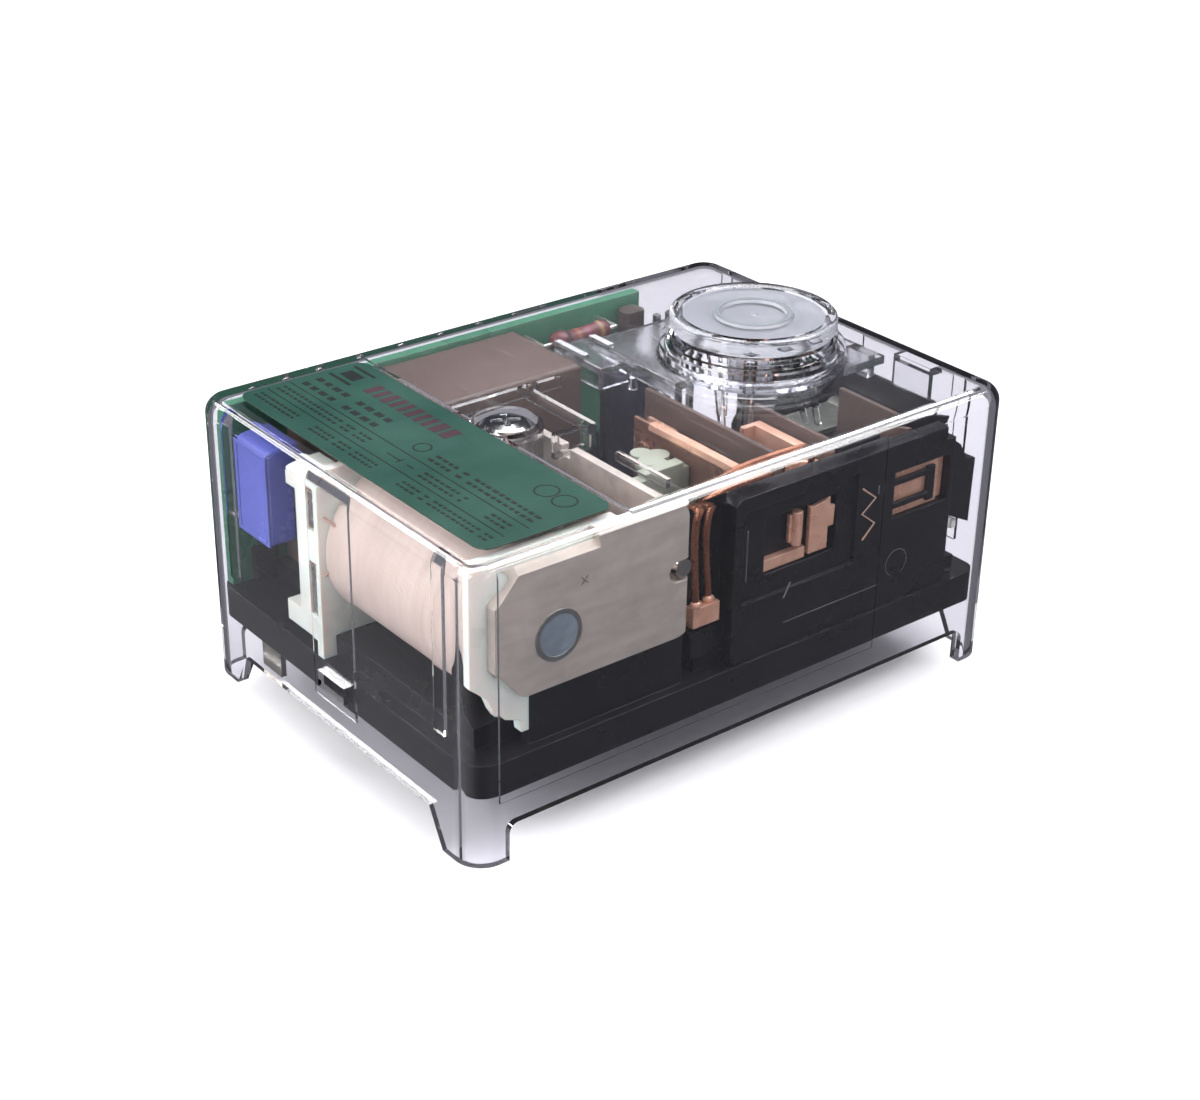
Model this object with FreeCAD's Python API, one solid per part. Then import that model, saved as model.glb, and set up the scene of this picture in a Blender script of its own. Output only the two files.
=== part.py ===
import FreeCAD, Part
import math
import os

# Plug-in burner control relay: clear cover over a relay coil, a contact block and a circuit board.
# Millimetres. Origin at the middle of the underside, X along the long side towards the reset
# button, Y across, Z up. The feet of the cover stand on Z = 0.

LENGTH = 91.0            # cover, along X
WIDTH = 64.0             # cover, along Y
TOP = 42.1               # top face of the cover
SKIRT = 5.3              # lower edge of the cover between its feet
WALL = 1.7
CORNER_R = 4.0
TOP_R = 2.4
STEP_X = -20.6           # the top is lower on the label side of this line
STEP = 0.35
CEILING = TOP - WALL
IN_X = LENGTH / 2 - WALL
IN_Y = WIDTH / 2 - WALL

BASE_GAP = 0.4
BASE_LOW = 9.2
BASE_TOP = 13.9
BASE_FLOOR = 12.1

BUTTON_X = 26.2
BUTTON_TOP = 47.2
BUTTON_R = 11.9
RING_R = 12.05
FLANGE_R = 13.2
BUTTON_HOLE_R = 12.4
BUTTON_TRAVEL = 2.0

SCREW_X = -17.1
SCREW_R = 2.0
SCREW_HOLE_R = 2.35
SCREW_TIP = 1.6
SCREW_NECK = 8.6

COIL_X = -31.7
COIL_Z = 28.8
COIL_R = 10.7
COIL_NEAR = -27.1        # winding starts here along Y
COIL_FAR = 3.0
COIL_LEFT = -43.2        # label-end side of the bobbin
CORE_R = 3.0
COIL_PAD = (-41.2, -21.4, -26.0, 8.0, 16.9)     # X and Y range and top of the pad under the coil
YOKE_PAD = (-35.3, -10.9, -28.6, -27.1, 21.1)

YOKE_Y = -29.8           # outer face of the yoke plate
YOKE_T = 1.2
YOKE_HOLE = (-12.9, 31.3)
LIMB_X = -12.1           # inner face of the yoke limb

PANEL_Y = -29.6          # outer face of the contact block
PANEL_T = 2.0
PANEL_TOP = 38.1
BOARD_Y = 27.8           # inner face of the circuit board

V = FreeCAD.Vector


def box(x0, x1, y0, y1, z0, z1):
    return Part.makeBox(x1 - x0, y1 - y0, z1 - z0, V(x0, y0, z0))


def rod(x, y, z0, z1, r):
    return Part.makeCylinder(r, z1 - z0, V(x, y, z0))


def rod_y(x, z, y0, y1, r):
    return Part.makeCylinder(r, y1 - y0, V(x, y0, z), V(0, 1, 0))


def rod_x(y, z, x0, x1, r):
    return Part.makeCylinder(r, x1 - x0, V(x0, y, z), V(1, 0, 0))


def plate_xz(points, y0, y1):
    """A flat plate with its outline in X and Z."""
    wire = Part.makePolygon([V(x, y0, z) for x, z in points + points[:1]])
    return Part.Face(wire).extrude(V(0, y1 - y0, 0))


def plate_xy(points, z0, z1):
    """A flat plate with its outline in X and Y."""
    wire = Part.makePolygon([V(x, y, z0) for x, y in points + points[:1]])
    return Part.Face(wire).extrude(V(0, 0, z1 - z0))


def turned(x, y, profile):
    """A solid of revolution about a vertical line, from radius and height pairs."""
    wire = Part.makePolygon([V(x + r, y, z) for r, z in profile + profile[:1]])
    return Part.Face(wire).revolve(V(x, y, 0), V(0, 0, 1), 360)


def join(shapes):
    out = shapes[0]
    if len(shapes) > 1:
        out = out.multiFuse(shapes[1:])
    return out.removeSplitter()


def cut(shape, tools):
    for tool in tools:
        shape = shape.cut(tool)
    return shape


def edges_along(shape, axis, test):
    """Straight edges that run along an axis and whose middle passes a test."""
    found = []
    for edge in shape.Edges:
        if len(edge.Vertexes) != 2:
            continue
        span = edge.Vertexes[1].Point - edge.Vertexes[0].Point
        if span.Length > 1e-6 and abs(abs(span[axis]) - span.Length) < 1e-6:
            mid = (edge.Vertexes[1].Point + edge.Vertexes[0].Point) * 0.5
            if test(mid):
                found.append(edge)
    return found


def rounded_box(x0, x1, y0, y1, z0, z1, r, top_r=0.0):
    body = box(x0, x1, y0, y1, z0, z1)
    body = body.makeFillet(r, edges_along(body, 2, lambda p: True))
    if top_r > 0:
        rim = [e for e in body.Edges if abs(e.BoundBox.ZMin - z1) < 1e-6]
        body = body.makeFillet(top_r, rim)
    return body


def export(name, shapes):
    """Write one node. Loose pieces of a group stay separate solids."""
    shape = shapes[0] if len(shapes) == 1 else Part.makeCompound(shapes)
    for solid in shape.Solids:
        assert solid.isValid(), name
    shape.exportStep("parts/" + name + ".step")


# ---------------------------------------------------------------- cover

def cover_feet():
    """What is cut away between the four corner feet, below the skirt line."""
    hx = LENGTH / 2
    hy = WIDTH / 2
    side = box(-hx + 5.4, hx - 5.4, -hy - 1, hy + 1, -1, SKIRT)
    side = side.makeFillet(1.4, edges_along(side, 1, lambda p: p.z > SKIRT - 0.1))
    end = Part.makePolygon([V(-hx - 1, -hy + 6.2, -1), V(-hx - 1, -hy + 9.6, SKIRT),
                            V(-hx - 1, hy - 9.6, SKIRT), V(-hx - 1, hy - 6.2, -1),
                            V(-hx - 1, -hy + 6.2, -1)])
    end = Part.Face(end).extrude(V(LENGTH + 2, 0, 0))
    return [side, end]


def cover_ribs():
    """Guide ribs and pads moulded inside the cover."""
    ribs = []
    for y in (-24.0, 25.0):
        ribs.append(box(-IN_X - 0.5, -IN_X + 0.5, y - 1.1, y + 1.1, 16.4, CEILING + 0.5))
        ribs.append(box(IN_X - 0.5, IN_X + 0.5, y - 1.1, y + 1.1, 16.4, CEILING + 0.5))
    for s in (-1, 1):
        ends = sorted((s * (IN_Y - 0.2), s * (IN_Y + 0.5)))
        ribs.append(box(-40.8, 22.6, ends[0], ends[1], SKIRT + 2.9, CEILING + 0.5))
        ends = sorted((s * (IN_X - 0.3), s * (IN_X + 0.5)))
        ribs.append(box(ends[0], ends[1], -4.9, 4.9, SKIRT + 2.9, CEILING + 0.5))
    ribs.append(box(-20.0, -6.7, 7.9, 8.7, 38.8, CEILING + 0.5))
    ribs.append(box(-5.7, -1.8, 7.9, 8.7, 38.8, CEILING + 0.5))
    ribs.append(box(-8.2, -7.4, -5.9, 8.3, 38.8, CEILING + 0.5))
    loop = box(-14.2, -8.2, -6.9, -6.1, 36.9, CEILING + 0.5)
    ribs.append(loop.cut(box(-13.5, -8.9, -7.5, -5.5, 37.6, CEILING - 0.3)))
    ribs.append(box(-8.9, -7.4, -6.9, -5.5, 38.8, CEILING + 0.5))
    ribs.append(box(-11.1, -10.3, -25.6, -15.4, 39.2, CEILING + 0.5))
    ribs.append(box(41.2, IN_X + 0.5, -20.4, -13.4, 39.2, CEILING + 0.5))
    ribs.append(box(41.2, 42.0, -20.4, -13.4, 35.6, CEILING + 0.5))
    return ribs


def make_cover():
    hx = LENGTH / 2
    hy = WIDTH / 2
    shell = rounded_box(-hx, hx, -hy, hy, 0, TOP, CORNER_R, TOP_R)
    hollow = rounded_box(-IN_X, IN_X, -IN_Y, IN_Y, -1, CEILING, CORNER_R - WALL, 1.2)
    shell = cut(shell, [hollow] + cover_feet())
    boss = rod(SCREW_X, 0, 34.4, CEILING + 0.5, 5.0)
    collar = rod(BUTTON_X, 0, TOP - 0.5, TOP + 0.7, BUTTON_HOLE_R + 0.8)
    shell = join([shell] + cover_ribs() + [boss, collar])
    holes = [box(-hx - 1, STEP_X, -hy - 1, hy + 1, TOP - STEP, TOP + 1)]
    holes.append(rod(SCREW_X, 0, 39.3, TOP + 1, 4.3))
    holes.append(rod(SCREW_X, 0, 30, 40, SCREW_HOLE_R))
    holes.append(rod(BUTTON_X, 0, 30, TOP + 2, BUTTON_HOLE_R))
    for s in (-1, 1):
        ends = sorted((s * (IN_X - 1), s * (hx + 1)))
        holes.append(box(ends[0], ends[1], -3.1, 3.1, 10.2, 12.7))
    return cut(shell, holes)


def make_label():
    label = box(-41.0, -21.2, -28.2, 28.2, TOP - STEP, TOP - STEP + 0.15)
    return label.makeFillet(2.0, edges_along(label, 2, lambda p: True))


def make_button_guide():
    """Clear frame under the top that surrounds the button's flange."""
    hole = FLANGE_R + 0.4
    plate = box(10.4, 41.0, -11.8, 17.4, 38.4, 39.6)
    wing = box(5.2, 11.0, 8.2, 18.8, 38.4, 39.6)
    lip = box(5.2, 6.2, 8.2, 18.8, 36.4, 39.0)
    lip_two = box(5.2, 10.4, 8.2, 9.2, 36.4, 39.0)
    edge = box(10.4, 11.4, -1.8, 17.4, 37.4, 39.0)
    tab = box(39.6, 41.0, -10.0, -5.4, 35.8, 39.0)
    post = rod(9.9, 6.6, 36.0, 39.6, 0.6)
    arm = box(9.3, 10.6, 6.0, 8.4, 38.4, 39.6)
    frame = join([plate, wing, lip, lip_two, edge, tab, post, arm])
    frame = cut(frame, [rod(BUTTON_X, 0, 30, 45, hole), box(10.0, 16.0, -13, -1.8, 38, 40)])
    tie = [box(10.4, 11.4, 13.0, 17.4, 39.0, CEILING), box(39.8, 41.0, 12.0, 17.4, 39.0, CEILING)]
    tie.append(box(5.2, 6.2, 12.0, 18.8, 39.0, CEILING))
    return max(join([frame] + tie).Solids, key=lambda s: s.Volume)


# ---------------------------------------------------------------- reset button

def square_loop(x, y, z, width, depth):
    """A closed rectangle at one height."""
    w = width / 2
    d = depth / 2
    corners = [(-w, -d), (w, -d), (w, d), (-w, d), (-w, -d)]
    return Part.makePolygon([V(x + dx, y + dy, z) for dx, dy in corners])


def strut(start, end, width, depth):
    """A slender leg with a square section that tapers to half its width."""
    loops = [square_loop(*end, width / 2, depth / 2), square_loop(*start, width, depth)]
    return Part.makeLoft(loops, True, True)


def make_reset_button():
    """Clear cap: rim, two grip rings, retaining flange, light cone and four slender legs."""
    profile = [(0, 46.1), (10.15, 46.1), (10.15, BUTTON_TOP - 0.25), (10.4, BUTTON_TOP)]
    profile += [(BUTTON_R - 0.5, BUTTON_TOP), (BUTTON_R, BUTTON_TOP - 0.5), (BUTTON_R, 45.4), (11.5, 45.2)]
    profile += [(11.5, 44.8), (RING_R, 44.6), (RING_R, 43.9), (11.75, 43.7), (11.75, 43.3), (RING_R, 43.1)]
    profile += [(RING_R, 40.1), (FLANGE_R, 40.1), (FLANGE_R, 39.0), (10.7, 39.0)]
    profile += [(10.7, 44.5), (4.0, 44.5), (3.2, 37.0), (1.0, 34.6), (0, 34.6)]
    cap = turned(BUTTON_X, 0, profile)
    legs = []
    for top, foot in (((-9.2, -2.4), (-7.4, -2.8)), ((-5.8, -6.2), (-4.9, -4.7)),
                      ((-0.9, -6.6), (4.9, -7.0)), ((3.4, -6.4), (6.0, -8.2))):
        legs.append(strut((BUTTON_X + top[0], top[1], 44.8), (BUTTON_X + foot[0], foot[1], 30.0), 1.5, 1.3))
    return join([cap] + legs)


def make_button_disc():
    """Frosted insert in the cap, with a raised ring and a centre dot."""
    profile = [(0, 46.1), (10.05, 46.1), (10.05, 46.75), (5.75, 46.75), (5.5, 47.1), (4.75, 47.1)]
    profile += [(4.5, 46.7), (0.6, 46.7), (0.4, 46.85), (0, 46.85)]
    return turned(BUTTON_X, 0, profile)


def make_reset_lever():
    """Sprung release lever that the button's legs push down."""
    arm = box(29.6, 39.6, -9.6, -2.8, 28.95, 29.7)
    barrel = rod_y(40.3, 29.0, -9.6, -2.8, 1.3)
    tongue = box(29.6, 30.3, -8.2, -4.2, 24.2, 29.2)
    lever = join([arm, barrel, tongue])
    return cut(lever, [rod_y(40.3, 29.0, -10, -2, 0.66)])


def make_lever_pin():
    return rod_y(40.3, 29.0, -11.0, -1.4, 0.6)


# ---------------------------------------------------------------- fixing screw

def make_screw():
    """Pan head screw with a cross recess. Its plain cylinder stands for the thread."""
    head = turned(SCREW_X, 0, [(0, 39.35), (3.75, 39.35), (3.75, 40.8), (3.5, 41.35), (2.9, 41.75), (1.6, 42.0),
                               (0, 42.05)])
    shank = rod(SCREW_X, 0, SCREW_TIP + 0.5, SCREW_NECK, SCREW_R)
    neck = rod(SCREW_X, 0, SCREW_NECK - 0.1, 39.6, 1.5)
    point = Part.makeCone(SCREW_R - 0.5, SCREW_R, 0.5, V(SCREW_X, 0, SCREW_TIP))
    screw = join([head, shank, neck, point])
    slots = []
    for a in (45, 135):
        slot = Part.makeLoft([
            square_loop(0, 0, 40.4, 2.6, 0.6),
            square_loop(0, 0, 42.6, 4.6, 1.0)], True, True)
        slot.rotate(V(0, 0, 0), V(0, 0, 1), a + 18)
        slot.translate(V(SCREW_X, 0, 0))
        slots.append(slot)
    return cut(screw, slots)


def make_retainer():
    """Plastic collar that keeps the loosened screw in the unit."""
    return rod(SCREW_X, 0, 9.4, 11.0, 3.4).cut(rod(SCREW_X, 0, 9, 12, 1.5))


# ---------------------------------------------------------------- base and plug blades

PLUG_X = (-27.5, -6.5, 4.5, 15.5, 26.5, 36.5)
PLUG_Y = (-20.5, 20.5)


def make_base():
    hx = IN_X - BASE_GAP
    hy = IN_Y - BASE_GAP + 0.1
    body = rounded_box(-hx, hx, -hy, hy, BASE_LOW, BASE_TOP, CORNER_R - WALL)
    under = rounded_box(-hx + 1.8, hx - 1.8, -hy + 1.8, hy - 1.8, BASE_LOW - 1, BASE_FLOOR, 1.2)
    body = body.cut(under)
    seat = BASE_TOP - 0.5
    tube = rod(SCREW_X, 0, BASE_LOW, BASE_FLOOR + 0.5, 5.2)
    ribs = [box(-hx + 1, hx - 1, -0.6, 0.6, 10.6, BASE_FLOOR + 0.5)]
    ribs.append(box(-1.6, -0.4, -hy + 1, hy - 1, 10.6, BASE_FLOOR + 0.5))
    ribs.append(box(31.0, 32.2, -hy + 1, hy - 1, 10.6, BASE_FLOOR + 0.5))
    pads = [box(*pad[:4], seat, pad[4]) for pad in (COIL_PAD, YOKE_PAD)]
    pads.append(box(-8.0, 40.5, -27.6, 2.5, seat, 16.0))
    pads.append(box(-36.0, 26.0, 11.0, BOARD_Y - 0.2, seat, 16.0))
    pads.append(box(-39.6, -36.2, BOARD_Y - 1.4, BOARD_Y - 0.1, seat, 19.0))
    pads.append(box(20.0, 23.6, BOARD_Y - 1.4, BOARD_Y - 0.1, seat, 19.0))
    pads.append(box(39.4, 41.2, -11.0, -10.0, seat, 30.2))
    pads.append(box(39.4, 41.2, -2.4, -1.4, seat, 30.2))
    lug = [box(-hx - 1.4, -hx + 0.5, -2.8, 2.8, 10.45, 12.4), box(hx - 0.5, hx + 1.4, -2.8, 2.8, 10.45, 12.4)]
    body = join([body, tube] + ribs + pads + lug)
    body = cut(body, [rod(SCREW_X, 0, 0, 30, SCREW_HOLE_R), rod(SCREW_X, 0, 0, 11.6, 3.8)])
    body = body.cut(rod_y(40.3, 29.0, -12, 0, 0.6))
    return body.removeSplitter()


def make_plug_contacts():
    """Twelve flat blades in two rows under the base."""
    blades = []
    for x in PLUG_X:
        for y in PLUG_Y:
            blade = plate_xz([(x - 2.0, BASE_FLOOR), (x - 2.0, 4.0), (x - 1.2, 3.0), (x + 1.2, 3.0), (x + 2.0, 4.0),
                              (x + 2.0, BASE_FLOOR)], y - 0.4, y + 0.4)
            blades.append(blade)
    return blades


def make_earth_tab():
    """Flat tab at the label end, seated in the base's end wall."""
    tab = box(-42.9, -42.1, 15.4, 20.2, 5.0, BASE_LOW)
    return tab


# ---------------------------------------------------------------- relay coil

def make_core():
    """Iron core, riveted into the yoke plate."""
    body = rod_y(COIL_X, COIL_Z, YOKE_Y + YOKE_T, 8.0, CORE_R)
    neck = rod_y(COIL_X, COIL_Z, YOKE_Y - 0.1, YOKE_Y + YOKE_T + 0.1, 2.85)
    pole = rod_y(COIL_X, COIL_Z, 7.0, 8.0, 4.4)
    return join([body, neck, pole])


def flange_outline():
    """Near bobbin flange: square top, curved underside and a locating leg."""
    left = [(COIL_LEFT, 39.9), (COIL_LEFT, 24.5), (-40.7, 22.1), (-39.9, 20.2), (-38.9, 18.8), (-36.6, 17.9)]
    leg = [(-36.4, 16.1), (-35.0, 16.1), (-34.4, 18.0)]
    right = [(-27.5, 17.7), (-25.5, 17.9), (-23.3, 19.4), (-21.8, 22.2), (-21.2, 24.0), (-21.2, 39.9)]
    return left + leg + right


TAG_SLOTS = ((32.1, 38.2), (19.8, 27.6))


def make_bobbin():
    near = plate_xz(flange_outline(), COIL_NEAR - 1.5, COIL_NEAR)
    far = plate_xz([(COIL_LEFT, 39.9), (COIL_LEFT, BASE_TOP), (-21.6, BASE_TOP), (-21.6, 39.9)],
                   COIL_FAR, COIL_FAR + 1.4)
    tube = rod_y(COIL_X, COIL_Z, COIL_NEAR - 0.5, COIL_FAR + 0.5, CORE_R + 1.2)
    block = plate_xz([(COIL_LEFT, 38.6), (COIL_LEFT, 16.1), (-40.4, 16.4), (-39.1, 19.0), (-39.1, 38.6)],
                     COIL_FAR + 1.0, COIL_FAR + 8.9)
    notches = [box(COIL_LEFT - 1, -38, COIL_FAR + 5.5, COIL_FAR + 10, 19.1, 36.6)]
    notches.append(box(COIL_LEFT - 1, -38, COIL_FAR + 7.7, COIL_FAR + 10, 30.0, 39.0))
    bobbin = cut(join([near, far, tube, block]), notches)
    bobbin = cut(bobbin, [box(*pad[:4], BASE_TOP - 1, pad[4]) for pad in (COIL_PAD, YOKE_PAD)])
    bobbin = bobbin.cut(rod_y(COIL_X, COIL_Z, -40, 20, CORE_R))
    for z0, z1 in TAG_SLOTS:
        bobbin = bobbin.cut(box(COIL_LEFT - 1, COIL_LEFT + 1.6, COIL_FAR + 0.9, COIL_FAR + 2.5, z0, z1))
    return max(bobbin.Solids, key=lambda s: s.Volume)


def make_winding():
    """Wound wire, slightly waisted towards the far end."""
    outer = rod_y(COIL_X, COIL_Z, COIL_NEAR, COIL_FAR, COIL_R)
    outer = outer.makeFillet(0.8, [e for e in outer.Edges if e.Length > 50 and e.BoundBox.YLength < 1e-6])
    return outer.cut(rod_y(COIL_X, COIL_Z, COIL_NEAR - 1, COIL_FAR + 1, CORE_R + 1.2))


def make_coil_terminals():
    """Two folded tags in the bobbin's terminal block."""
    tags = []
    for z0, z1 in TAG_SLOTS:
        tags.append(box(COIL_LEFT + 0.1, COIL_LEFT + 1.6, COIL_FAR + 1.2, COIL_FAR + 2.2, z0 + 0.5, z1 - 0.5))
    return tags


def make_yoke():
    y1 = YOKE_Y + YOKE_T
    out = LIMB_X + YOKE_T
    plate = plate_xz([(-40.8, 35.1), (-37.6, 38.7), (-25.4, 38.7), (-25.4, 39.8), (out, 39.8),
                      (out, 22.3), (-12.7, 21.8), (-36.6, 21.8), (-37.4, 22.2), (-40.8, 26.4)],
                     YOKE_Y, y1)
    limb = box(LIMB_X, out, YOKE_Y, 8.7, 22.3, 38.0).cut(box(LIMB_X - 1, out + 1, -7.4, -5.6, 36.6, 39.0))
    yoke = join([plate, limb])
    yoke = yoke.makeFillet(1.0, edges_along(yoke, 2, lambda p: p.x > LIMB_X + 1 and p.y < YOKE_Y + 0.1
                                            and p.z > 25 and p.z < 35))
    hx, hz = YOKE_HOLE
    slot = box(hx, out + 1, YOKE_Y - 1, -24.3, hz - 1.5, hz + 1.5)
    return cut(yoke, [rod_y(COIL_X, COIL_Z, -40, y1 + 1, 2.85), rod_y(hx, hz, -40, y1 + 1, 1.5), slot])


def make_core_stake():
    """Raised ring where the core is staked into the yoke plate."""
    ring = rod_y(COIL_X, COIL_Z, YOKE_Y - 0.15, YOKE_Y, 3.5)
    return ring.cut(rod_y(COIL_X, COIL_Z, -40, 0, 2.85))


def make_yoke_pin():
    """Steel pin of the block that locks into the yoke's slotted hole."""
    hx, hz = YOKE_HOLE
    tail = rod_x(-26.0, hz, hx + 1.5, -8.8, 0.6)
    return join([rod_y(hx + 1.1, hz, YOKE_Y + 0.3, -24.6, 1.25), tail])


# ---------------------------------------------------------------- armature and pusher

def make_armature():
    """Bell-crank armature: one plate over the pole face, one tail along the yoke."""
    plate = box(-37.8, -8.3, 8.9, 10.1, 21.4, 34.4)
    tail = box(-9.5, -8.3, -12.4, 10.1, 24.0, 33.0)
    arm = join([plate, tail])
    arm = arm.makeFillet(0.9, edges_along(arm, 2, lambda p: p.x > -8.4 and p.y > 10.0
                                          and p.z > 25 and p.z < 32))
    return arm


def make_card():
    """Pusher card: an upper bar for the first leaf and a lower bar for the second."""
    upper = box(-8.1, 4.95, -11.6, -9.8, 29.2, 32.4)
    lower = box(-8.1, 12.55, -11.6, -9.8, 22.2, 24.4)
    web = box(-8.1, -3.4, -11.6, -9.8, 22.2, 32.4)
    lobes = [rod(x, y, 32.4, 33.2, 1.5) for x, y in ((1.3, -5.8), (3.0, -7.5), (0.6, -8.3))]
    neck = box(0.4, 2.6, -10.0, -6.6, 32.4, 33.2)
    deck = box(-2.4, 4.0, -11.6, -9.8, 32.0, 33.2)
    return join([upper, lower, web, neck, deck] + lobes)


# ---------------------------------------------------------------- contact block

def make_carrier():
    """Black block on the long side: windowed panel, chamber walls and a bevelled end lug."""
    y1 = PANEL_Y + PANEL_T
    panel = plate_xz([(-3.4, BASE_TOP), (-3.4, 37.2), (-2.5, PANEL_TOP), (34.9, PANEL_TOP), (34.9, 36.2),
                      (36.6, 36.2), (36.6, BASE_TOP)], PANEL_Y, y1)
    recess = box(-8.8, -3.3, y1 + 0.8, y1 + 1.8, 16.0, 37.0)
    cheek = box(-3.4, -2.4, y1 - 0.1, y1 + 1.8, 16.0, 37.0)
    ledge = box(15.4, 23.0, PANEL_Y + 1.2, y1, PANEL_TOP - 0.1, 39.4)
    first = box(2.2, 14.8, PANEL_Y - 1, y1 + 1, 25.6, 33.8)
    step = box(-1.8, 18.2, PANEL_Y - 1, PANEL_Y + 0.5, 22.6, 36.0)
    second = box(25.2, 35.9, PANEL_Y - 1, y1 + 1, 27.0, 33.9)
    panel = cut(panel, [first, step, second])
    backs = [box(1.4, 15.6, y1 - 0.1, y1 + 0.7, 24.8, 34.6), box(24.4, 36.6, y1 - 0.1, y1 + 0.7, 26.2, 34.7)]
    bars = [box(24.8, 33.0, PANEL_Y, PANEL_Y + 0.5, z, z + 0.8) for z in (31.95, 28.5)]
    bars.append(box(31.7, 33.0, PANEL_Y, PANEL_Y + 0.5, 27.9, 33.0))
    lug = plate_xz([(35.95, 36.1), (36.8, 35.5), (38.4, 34.3), (39.8, 31.8), (41.6, 31.4), (41.4, 21.6),
                    (36.4, 24.1), (35.95, 30.0)], PANEL_Y + 0.6, PANEL_Y + 4.4)
    rail = box(-8.8, 36.6, y1 - 0.2, y1 + 3.2, 16.0, 20.0)
    far = box(-2.4, 9.0, 2.0, 3.0, 16.0, 37.6)
    short = box(13.8, 14.8, y1 - 0.2, -14.0, 16.0, 22.0)
    outer = box(22.4, 23.4, y1 - 0.2, -14.0, 16.0, 33.6)
    block = join([panel, recess, cheek, ledge, lug, rail, far, short, outer] + backs + bars)
    return max(block.Solids, key=lambda s: s.Volume)


def make_partition_sheets():
    """Brown pressed sheets that part the contact chambers."""
    gate = box(8.0, 11.0, -12.2, -9.2, 21.6, 33.2)
    one = box(9.1, 9.8, -24.2, 2.9, 16.0, 37.6).cut(gate)
    two = box(20.2, 20.9, -22.4, -7.4, 16.0, 36.0)
    three = box(33.6, 34.3, -23.4, -10.6, 16.0, 36.0)
    return [one, two, three]


def make_end_sheet():
    """Dark sheet inside the button end."""
    return box(42.2, 42.8, -22.4, 20.0, BASE_TOP, 35.2)


def make_clip():
    """Small pale clip under the end lug."""
    body = plate_xz([(36.6, 23.7), (36.6, 21.2), (39.6, 21.2), (39.6, 22.2)], -28.4, -27.6)
    return join([body, box(38.4, 39.2, -28.7, -28.3, 21.2, 22.4)])


def leaf(x, y0, y1, z0, z1, t):
    """Contact leaf with its foot in the rail."""
    return box(x, x + t, y0, y1, z0, z1)


ROOT_Y = -24.2


def make_moving_leaf_one():
    blade = box(5.3, 5.8, ROOT_Y, 0.6, 26.4, 35.2)
    bead = box(4.9, 6.2, -20.8, -3.0, 34.4, 35.5)
    tip = rod_x(-1.6, 30.6, 4.9, 7.1, 1.5)
    return join([blade, bead, tip])


def make_moving_leaf_two():
    blade = box(12.8, 13.2, ROOT_Y, 3.4, 22.4, 34.4)
    tip = rod_x(0.8, 28.0, 12.5, 13.5, 1.4)
    return join([blade, tip])


def make_leaf_clamps():
    """Folded copper feet that hold the two moving leaves in the block."""
    one = box(4.7, 6.4, -25.2, ROOT_Y - 0.15, 20.0, 34.6)
    two = box(12.2, 13.8, -25.2, ROOT_Y - 0.15, 20.0, 33.8)
    return [one, two]


def make_fixed_contacts():
    """Fixed contact bars with silver faces opposite the moving leaves."""
    one = join([box(8.5, 8.9, -4.6, 1.4, 24.0, 34.0), rod_x(-1.6, 30.6, 8.35, 8.6, 1.5)])
    two = join([box(15.6, 16.2, -2.4, 4.0, 16.0, 31.6), rod_x(0.8, 28.0, 14.8, 15.8, 1.4)])
    return [one, two]


def make_contact_bar():
    """Thick copper bar with a small pale hook at its far end."""
    bar = box(17.6, 19.2, -27.4, -10.4, 31.6, 34.6)
    post = box(17.6, 19.2, -27.4, -24.0, 20.0, 34.6)
    hook = box(15.6, 19.2, -10.6, -9.8, 32.4, 34.6)
    return join([bar, post, hook])


def make_window_coppers():
    """Copper pieces in the two windows of the block and the tag that its leads start from."""
    y = PANEL_Y
    tall = plate_xz([(10.2, 26.2), (10.2, 32.9), (10.0, 33.3), (11.0, 33.0), (13.0, 33.4), (13.3, 33.8),
                     (13.7, 33.8), (13.7, 32.4), (14.6, 32.2), (14.5, 29.3), (13.5, 29.3), (13.5, 26.2)],
                    y + 0.6, y + 1.2)
    hook = [box(7.0, 9.4, y + 1.1, y + 1.6, 28.6, 32.6)]
    hook.append(rod(8.2, y + 1.05, 28.2, 33.0, 0.75))
    shelf = box(2.4, 9.8, y + 0.9, y + 1.9, 25.8, 27.4)
    plate = box(25.3, 34.2, y + 0.7, y + 1.2, 27.1, 33.8)
    strip = box(34.4, 35.8, y + 1.3, y + 1.9, 27.1, 33.3)
    tag = box(-9.4, -5.0, y + 0.7, y + 2.2, 21.4, 24.2)
    return [tall, join(hook), shelf, plate, strip, tag]


def tube_path(points, r):
    """A round wire through a list of points, with ball joints at its bends."""
    out = []
    for a, b in zip(points, points[1:]):
        a = V(*a)
        b = V(*b)
        out.append(Part.makeCylinder(r, (b - a).Length, a, b - a))
    for p in points[1:-1]:
        out.append(Part.makeSphere(r, V(*p)))
    return join(out)


def make_flex_leads():
    """Two plaited copper leads up beside the block and along its top."""
    one = tube_path([(-8.6, -28.3, 24.3), (-9.2, -28.4, 34.6), (-8.2, -28.5, 38.2), (-4.4, -28.6, 39.3),
                     (1.0, -28.4, 39.2), (4.6, -27.0, 38.4), (5.6, -24.9, 36.6), (5.6, -24.8, 34.7)], 0.5)
    two = tube_path([(-6.2, -27.95, 24.3), (-6.6, -27.55, 33.6), (-5.4, -27.4, 37.6), (-2.0, -27.2, 39.3),
                     (5.4, -26.9, 39.5), (10.6, -27.0, 39.3), (12.8, -26.0, 38.0), (13.1, -24.9, 35.6),
                     (13.1, -24.8, 33.9)], 0.5)
    return [one, two]


# ---------------------------------------------------------------- circuit board

def make_board():
    board = box(-42.6, 28.2, BOARD_Y, BOARD_Y + 1.6, BASE_TOP, 39.9)
    notch = box(25.8, 29, BOARD_Y - 1, BOARD_Y + 2, 12, 20.0)
    return board.cut(notch)


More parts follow.
